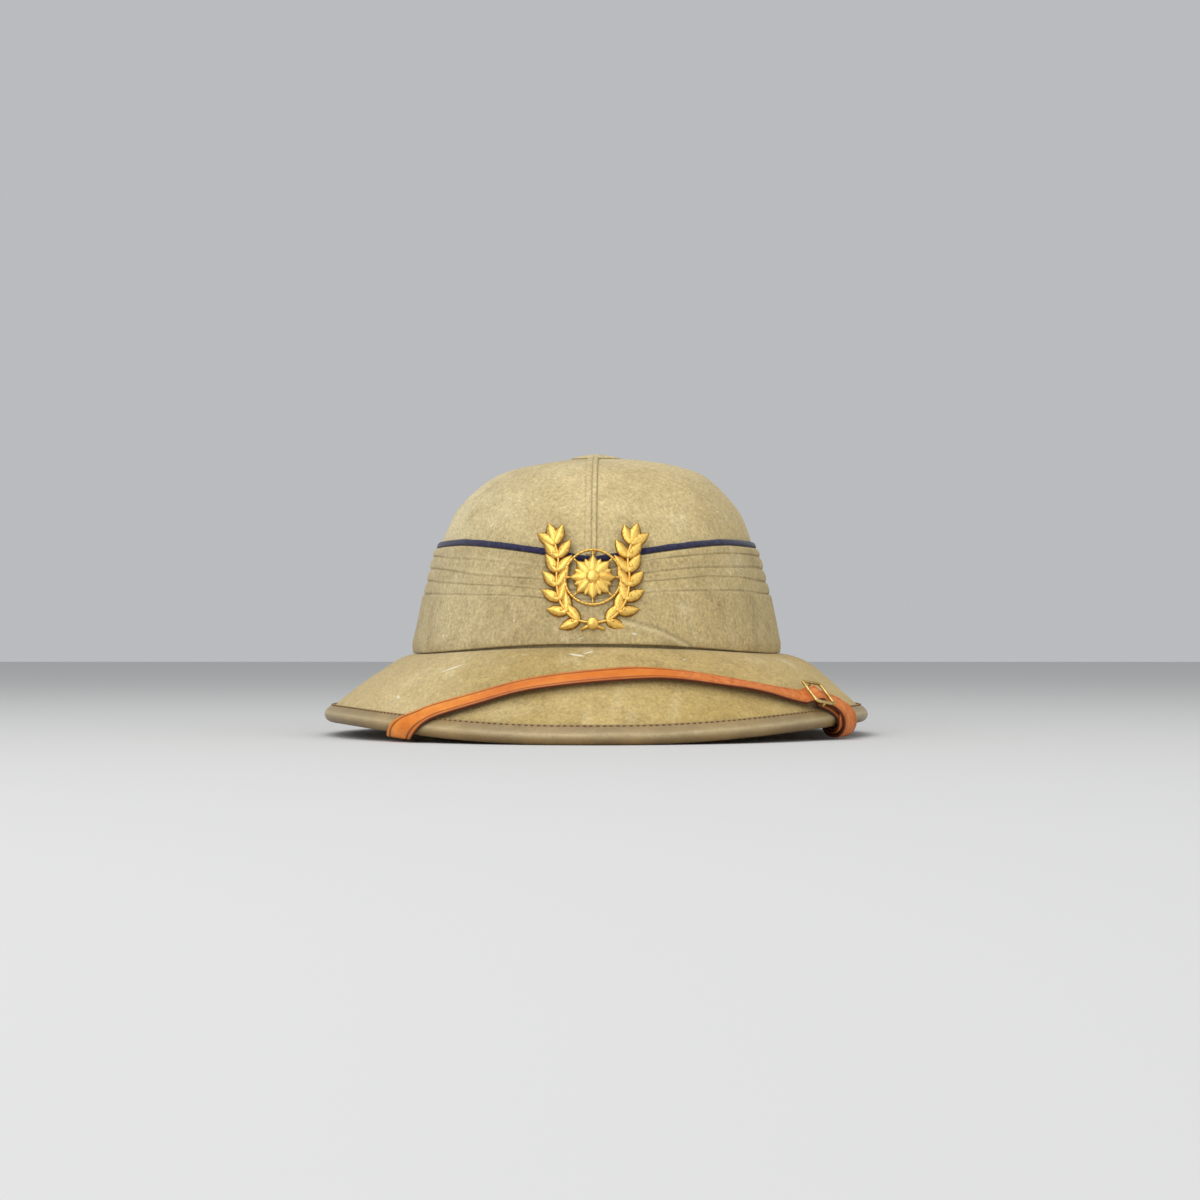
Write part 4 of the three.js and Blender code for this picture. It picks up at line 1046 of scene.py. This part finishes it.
def buildBadge():
    bm = bmesh.new()
    bm.loops.layers.uv.new("run")
    toneLayer = bm.verts.layers.float.new("tone")
    bm.verts.layers.float.new("wearAndHighlight")
    for hand in (1, -1):
        curve = stemCurve(hand)
        addRod(bm, toneLayer, curve, badge["stem"] * 1.1, badge["stem"] * 1.1)
        for i in range(badge["pairs"]):
            share = lerp(0.12, 0.95, i / (badge["pairs"] - 1))
            point, run = alongCurve(curve, share)
            heading = math.atan2(run.y, run.x)
            for spread in (-1, 1):
                size = lerp(0.92, 1.0, share)
                addLeaf(bm, toneLayer, point, heading + spread * math.radians(badge["spread"]),
                        badge["leafLength"] * size, badge["leafWidth"] * size, badge["thickness"])
            if i < badge["pairs"] - 1:
                berry, _ = alongCurve(curve, share + 0.055)
                out = Vector((run.y, -run.x, 0)) * hand * 1.5
                addBall(bm, toneLayer, berry + out + Vector((0, 0, 1.3)), 0.95)
        tip, run = alongCurve(curve, 0.97)
        addLeaf(bm, toneLayer, tip, math.atan2(run.y, run.x), badge["leafLength"], badge["leafWidth"],
                badge["thickness"])
        foot, _ = alongCurve(curve, 0.02)
        tail = Vector((-hand * badge["halfWidth"] * 0.3, -badge["halfHeight"] * 1.12, 0))
        addRod(bm, toneLayer, [foot, lerp(foot, tail, 0.5), tail], badge["stem"] * 1.5, badge["stem"] * 1.3)
    circle = [Vector((math.cos(a), math.sin(a), 0)) * badge["ring"] for a in ringAngles(72)]
    addRod(bm, toneLayer, circle, badge["wire"] * 1.3, badge["wire"], closed=True)
    for i in range(40):
        a = i / 40 * 2 * math.pi
        addBall(bm, toneLayer, Vector((math.cos(a) * badge["ring"], math.sin(a) * badge["ring"], 1.0)), 0.72, 0.8, 1)
    for i in range(badge["petals"]):
        angle = i / badge["petals"] * 2 * math.pi
        between = angle + math.pi / badge["petals"]
        ray = Vector((math.cos(between), math.sin(between), 0))
        spoke = Vector((math.cos(angle), math.sin(angle), 0))
        addLeaf(bm, toneLayer, spoke * 1.0, angle, badge["rosette"], badge["petalWidth"] * 1.12,
                badge["thickness"] * 1.3, 3)
        addLeaf(bm, toneLayer, ray * 1.0, between, badge["rosette"] * 0.86, badge["petalWidth"],
                badge["thickness"] * 0.85, 3)
        addRod(bm, toneLayer, [spoke * badge["rosette"], spoke * badge["ring"]], badge["wire"], badge["wire"])
    addBall(bm, toneLayer, Vector((0, 0, 2.0)), badge["boss"], 0.5, 3)
    for i in range(10):
        a = i / 10 * 2 * math.pi
        addBall(bm, toneLayer, Vector((math.cos(a) * 3.3, math.sin(a) * 3.3, 2.0)), 0.7, 0.8, 1)
    addBall(bm, toneLayer, Vector((0, -badge["halfHeight"], 1.0)), badge["knot"], 0.62, 3)
    for vert in bm.verts:
        bend = vert.co.x ** 2 / (2 * badge["bendAcross"]) + vert.co.y ** 2 / (2 * badge["bendUp"])
        vert.co.z -= bend
        vert.co = badgePlace @ vert.co * mm
    post = bmesh.ops.create_cone(bm, cap_ends=True, segments=24, radius1=1.5 * mm, radius2=1.5 * mm,
                                 depth=16.5 * mm)["verts"]
    for vert in post:
        vert.co = badgePlace @ ((vert.co / mm) + Vector((0, 0, -8.25 + 0.6))) * mm
    bmesh.ops.recalc_face_normals(bm, faces=bm.faces)
    return addPiece("wreath_badge", bm, gilt, ["badge"])


buildBadge()
print("badge made")

# Straps: angle from the front in degrees, how far across the bed, and the lift as a share of the buckle's
strap = {
    "width": 11.5, "leather": 1.8, "shortLeather": 1.6, "wallRun": 26, "rest": 0.85, "tilt": 2.2, "steps": 4,
    "foldLeather": 1.1, "foldRest": 2.65,
    "long": [
        (-80, 3, 0), (-79, 2.6, 0), (-77.5, 2.32, 0), (-76.5, 2.23, 0), (-75.6, 2.15, 0), (-74.6, 2.07, 0),
        (-73.4, 2, 0), (-66, 1.72, 0), (-56, 1.4, 0), (-49.4, 1.23, 0), (-45.9, 1.14, 0), (-43.1, 1.07, 0),
        (-40.8, 1, 0), (-38.4, 0.94, 0), (-35.8, 0.88, 0), (-33, 0.8, 0), (-25.5, 0.665, 0), (-17, 0.54, 0),
        (-8, 0.47, 0), (2.5, 0.425, 0), (12, 0.405, 0), (20.5, 0.43, 0), (27, 0.475, 0), (36, 0.555, 0),
        (43, 0.635, 0), (47.5, 0.69, 0), (49.8, 0.717, 0), (51.3, 0.735, 0.4), (53.1, 0.757, 1), (54.7, 0.777, 0.6),
        (56.3, 0.81, 0.52), (58, 0.88, 0.68), (59.8, 0.965, 0.76), (61.4, 1.04, 0.76), (63, 1.12, 0.76),
    ],
    "short": [
        (84, 3, 0), (83.5, 2.6, 0), (82.6, 2.32, 0), (82, 2.23, 0), (81.5, 2.15, 0), (80.9, 2.07, 0), (80.2, 2, 0),
        (75, 1.72, 0), (69.2, 1.42, 0), (65.8, 1.26, 0), (64.2, 1.18, 0), (63.1, 1.13, 0), (62.2, 1.085, 0),
        (61.2, 1.04, 0), (60.3, 1, 0), (59, 0.94, 0), (57.6, 0.872, 0), (55.4, 0.8, 0), (53.1, 0.757, 0),
    ],
    "fold": [
        (63.9, 1.16, 0), (63.1, 1.13, 0), (62.2, 1.085, 0), (61.2, 1.04, 0), (60.3, 1, 0), (59, 0.94, 0),
        (58, 0.89, 0),
    ],
}
buckle = {"length": 15, "wire": 1.5, "inner": strap["width"] + 9 * gap, "corner": 1.6}
middleBarHeight = strap["rest"] + strap["shortLeather"] + 2 * gap + buckle["wire"] / 2
humpHeight = middleBarHeight + buckle["wire"] / 2 + 3 * gap
tailHeight = strap["rest"] + strap["shortLeather"] + gap
frameHeight = tailHeight + strap["leather"] + 4 * gap + buckle["wire"] / 2


def bedProfile(side):
    start, end = rollStart(side), rollEnd(side)
    top = brimTop(side)[:-2]
    arc = [offEdge(side, lerp(start, end, i / 8), rollRadius) for i in range(9)]
    under = brimUnder(side)[2:]
    foot = Vector((crownReach(side, crown["spring"]), rim["roots"][side] - rim["thickness"]))
    inside = [foot + Vector((2 - crown["wall"], 0)), foot + Vector((-crown["wall"], 2))]
    wall = [Vector((crownReach(side, foot.y + share * strap["wallRun"]) - crown["wall"] - 0.35 * share,
                    foot.y + share * strap["wallRun"])) for share in (0.4, 0.7, 1)]
    points = [*top, upSlope(side, arc[0], rim["flange"] * 1.3), *arc, upSlope(side, arc[-1], rim["flange"] * 1.3),
              *under, *inside, *wall]
    return points, len(top) + 5, len(top) + 10 + len(under)


bedTip, bedRoot = bedProfile("front")[1:]
bedBases = {side: bedProfile(side)[0] for side in sides}
bedRings = ringsOf(bedBases)
bedMoves = ringsOf({side: mitres(bedBases[side]) for side in sides})


def bedPoint(angle, across, lift):
    seats = [ringPoint(ring, angle) for ring in bedRings]
    sums = [0.0]
    for a, b in zip(seats, seats[1:]):
        sums.append(sums[-1] + (b - a).length)
    marks = (0.0, sums[bedTip], sums[bedRoot], sums[-1])
    whole = int(clamp(math.floor(across), 0, 2))
    length = lerp(marks[whole], marks[whole + 1], across - whole)
    i = int(clamp(bisect.bisect_right(sums, length), 1, len(sums) - 1))
    share = (length - sums[i - 1]) / (sums[i] - sums[i - 1])
    ends = [ringPoint({side: bedRings[j][side] - bedMoves[j][side] * lift for side in sides}, angle)
            for j in (i - 1, i)]
    return lerp(ends[0], ends[1], share)


def stationsOf(route, steps):
    knots = [Vector((math.radians(row[0]), row[1], row[2])) for row in route]
    return curveThrough(knots, steps)


def beside(stations, i, aside):
    here, before, after = stations[i], stations[max(0, i - 1)], stations[min(len(stations) - 1, i + 1)]
    step = 0.01
    seat = bedPoint(here.x, here.y, 0)
    perAngle = (bedPoint(here.x + step, here.y, 0) - seat).length / step
    perAcross = (bedPoint(here.x, here.y + step, 0) - seat).length / step
    run = Vector(((after.x - before.x) * perAngle, (after.y - before.y) * perAcross)).normalized()
    return here.x - run.y * aside / perAngle, here.y + run.x * aside / perAcross


# The strap's section: across as a share of the half width, up as a share of the leather, and how dark
strapSection = [
    (-0.975, 0.05, 1), (-1, 0.35, 1), (-0.99, 0.75, 0.9), (-0.93, 0.96, 0.3), (-0.8, 1.0, 0.1),
    (-0.72, 0.94, 0.45), (-0.67, 0.78, 1), (-0.62, 0.94, 0.45), (-0.53, 1.02, 0), (-0.3, 1.05, 0), (0, 1.06, 0),
    (0.3, 1.05, 0), (0.53, 1.02, 0), (0.62, 0.94, 0.45), (0.67, 0.78, 1), (0.72, 0.94, 0.45), (0.8, 1.0, 0.1),
    (0.89, 0.97, 0.35), (0.96, 0.86, 1), (1, 0.35, 1), (0.975, 0.05, 1), (0.5, 0.0, 0.8), (0, 0.0, 0.8),
    (-0.5, 0.0, 0.8),
]


# Between its bends the strap is stretched, so that its lower edge stands off the brim
def tiltAt(station):
    turned = math.degrees(station.x)
    return 0.0 if station.y > 1 else strap["tilt"] * smooth((turned + 34) / 22) * smooth((49 - turned) / 12)


# The worn stretch has lost some of its width
def widthAt(station):
    turned = math.degrees(station.x)
    worn = smooth((turned - 9) / 10) * smooth((50 - turned) / 8) if station.y < 1 else 0.0
    return strap["width"] * (1 - 0.16 * worn)


def buildStrap(name, route, leather, nodes, wearAt, rest=None, shift=0.0):
    stations = stationsOf(route, strap["steps"])
    rings, tones, wearsAndHighlights = [], [], []
    for i, station in enumerate(stations):
        wearAndHighlight = wearAt(station)
        lump = noise.noise(Vector((i * 0.11, 4.2, 0))) * 0.25
        height = rest or strap["rest"] + max(0.0, station.z) * (humpHeight - strap["rest"])
        ring, ringTones = [], []
        for across, up, tone in strapSection:
            ragged = noise.noise(Vector((i * 0.9, across * 3, 9.1))) * 0.55 * wearAndHighlight
            place = beside(stations, i, across * (widthAt(station) / 2 + ragged) + shift)
            lift = height + up * leather + (0.12 + max(0.0, lump)) * 0.5 + tiltAt(station) * (1 + across) / 2
            ring.append(bedPoint(*place, lift))
            crease = 0.6 < abs(across) < 0.75 and up > 0.5
            ringTones.append(tone * (1 - 0.75 * wearAndHighlight) if crease else tone)
        rings.append(metres(ring))
        tones.append(ringTones)
        wearsAndHighlights.append(wearAndHighlight)
    bm, _ = loft(rings, closed=False, tones=tones, wearsAndHighlights=wearsAndHighlights)
    return addPiece(name, bm, strapLeather, nodes, 1)


buildStrap("strap_long", strap["long"], strap["leather"], ["chin_strap"],
           lambda s: smooth((math.degrees(s.x) - 10) / 18) * 0.85 if s.y < 1.3 else 0.25)
buildStrap("strap_short", strap["short"], strap["shortLeather"], ["buckle_strap"], lambda s: 0.75)
buildStrap("strap_fold", strap["fold"], strap["foldLeather"], [], lambda s: 0.9, strap["foldRest"], -1.3)
print("straps made")


# Buckle: a slide of round wire over the strap, whose middle bar dips under it
def frameAt(angle, across, height, heading):
    origin = bedPoint(angle, across, height)
    up = (bedPoint(angle, across, height + 1) - origin).normalized()
    ahead = (bedPoint(*heading, height) - origin).normalized()
    side = up.cross(ahead).normalized()
    turn = Matrix((side.cross(up), side, up)).transposed().to_4x4()
    return Matrix.Translation(origin) @ turn


def sweep(points, radius, upAxis, sidesCount=12, closed=True):
    rings = []
    count = len(points)
    for i, point in enumerate(points):
        before = points[(i - 1) % count if closed else max(0, i - 1)]
        after = points[(i + 1) % count if closed else min(count - 1, i + 1)]
        run = (after - before).normalized()
        side = run.cross(upAxis).normalized()
        up = side.cross(run)
        rings.append([point + (side * math.cos(a) + up * math.sin(a)) * radius for a in ringAngles(sidesCount)])
    return rings


def buildBuckle():
    place = frameAt(math.radians(53.1), 0.757, frameHeight, (math.radians(55), 0.782))
    halfLong = (buckle["length"] - buckle["wire"]) / 2
    halfWide = (buckle["inner"] + buckle["wire"]) / 2
    corner = buckle["corner"]
    path = []
    for quarter, (x, y) in enumerate(((1, 1), (-1, 1), (-1, -1), (1, -1))):
        for turn in range(0, 91, 15):
            angle = math.radians(turn + quarter * 90)
            path.append(Vector((x * (halfLong - corner) + math.cos(angle) * corner,
                                y * (halfWide - corner) + math.sin(angle) * corner, 0)))
    rings = [metres([place @ point for point in ring])
             for ring in sweep(path, buckle["wire"] * 0.6, Vector((0, 0, 1)))]
    bm, _ = loft(rings)
    addPiece("buckle_frame", bm, brass, ["strap_buckle"], 1)
    drop = middleBarHeight - frameHeight
    corners = [Vector((0, -halfWide, 0)), Vector((0, -halfWide, drop)), Vector((0, halfWide, drop)),
               Vector((0, halfWide, 0))]
    bends = [corners[0]]
    for before, at, after in zip(corners, corners[1:], corners[2:]):
        start, end = at + (before - at).normalized() * 0.6, at + (after - at).normalized() * 0.6
        bends += [lerp(lerp(start, at, t), lerp(at, end, t), t) for t in (0, 0.25, 0.5, 0.75, 1)]
    bends.append(corners[-1])
    rings = [metres([place @ point for point in ring])
             for ring in sweep(bends, buckle["wire"] * 0.46, Vector((1, 0, 0)), closed=False)]
    bm, _ = loft(rings, closed=False)
    addPiece("buckle_bar", bm, brass)


buildBuckle()
for name in ("badge_nut", "strap_stud_left", "strap_stud_right"):
    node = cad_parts[name]
    node.data.materials.clear()
    node.data.materials.append(brass.material)
print("buckle made")


# Stage, light and camera
stage = {"eye": 50, "distance": 1500, "azimuth": 0.9, "aim": 0.075, "pitch": 0.94, "lens": 80.37}


def buildStage():
    bm = bmesh.new()
    bmesh.ops.create_grid(bm, x_segments=1, y_segments=1, size=6)
    mesh = bpy.data.meshes.new("floor")
    bm.to_mesh(mesh)
    bm.free()
    finish = Finish("pale floor", 0.85, Specular_IOR_Level=0.2)
    finish.paint(tint(214, 214, 212))
    mesh.materials.append(finish.material)
    floor = bpy.data.objects.new("floor", mesh)
    bpy.context.scene.collection.objects.link(floor)


buildStage()

world = bpy.data.worlds.new("studio")
bpy.context.scene.world = world
world.use_nodes = True
world.node_tree.nodes["Background"].inputs["Color"].default_value = (0.92, 0.94, 0.97, 1)
world.node_tree.nodes["Background"].inputs["Strength"].default_value = 0.53
bpy.context.scene.view_settings.view_transform = "Standard"

lights = {
    "top": {"at": (-0.3, -0.5, 1.6), "size": 1.4, "power": 11.5},
    "front": {"at": (-0.9, -1.8, 0.9), "size": 1.2, "power": 14.5},
    "fill": {"at": (1.5, -1.1, 0.8), "size": 1.4, "power": 5.5},
}
for name, light in lights.items():
    lamp = bpy.data.lights.new(name, "AREA")
    lamp.size = light["size"]
    lamp.energy = light["power"]
    holder = bpy.data.objects.new(name, lamp)
    holder.location = light["at"]
    holder.rotation_euler = (Vector((0, 0, 0.07)) - holder.location).to_track_quat("-Z", "Y").to_euler()
    bpy.context.scene.collection.objects.link(holder)

lens = bpy.data.cameras.new("camera")
lens.lens = stage["lens"]
lens.sensor_width = 36
camera = bpy.data.objects.new("camera", lens)
turned = math.radians(stage["azimuth"])
camera.location = (math.sin(turned) * stage["distance"] * mm, -math.cos(turned) * stage["distance"] * mm,
                   stage["eye"] * mm)
camera.rotation_euler = (math.radians(90 + stage["pitch"]), 0, turned - math.radians(stage["aim"]))
bpy.context.scene.collection.objects.link(camera)
bpy.context.scene.camera = camera

print("scene made")
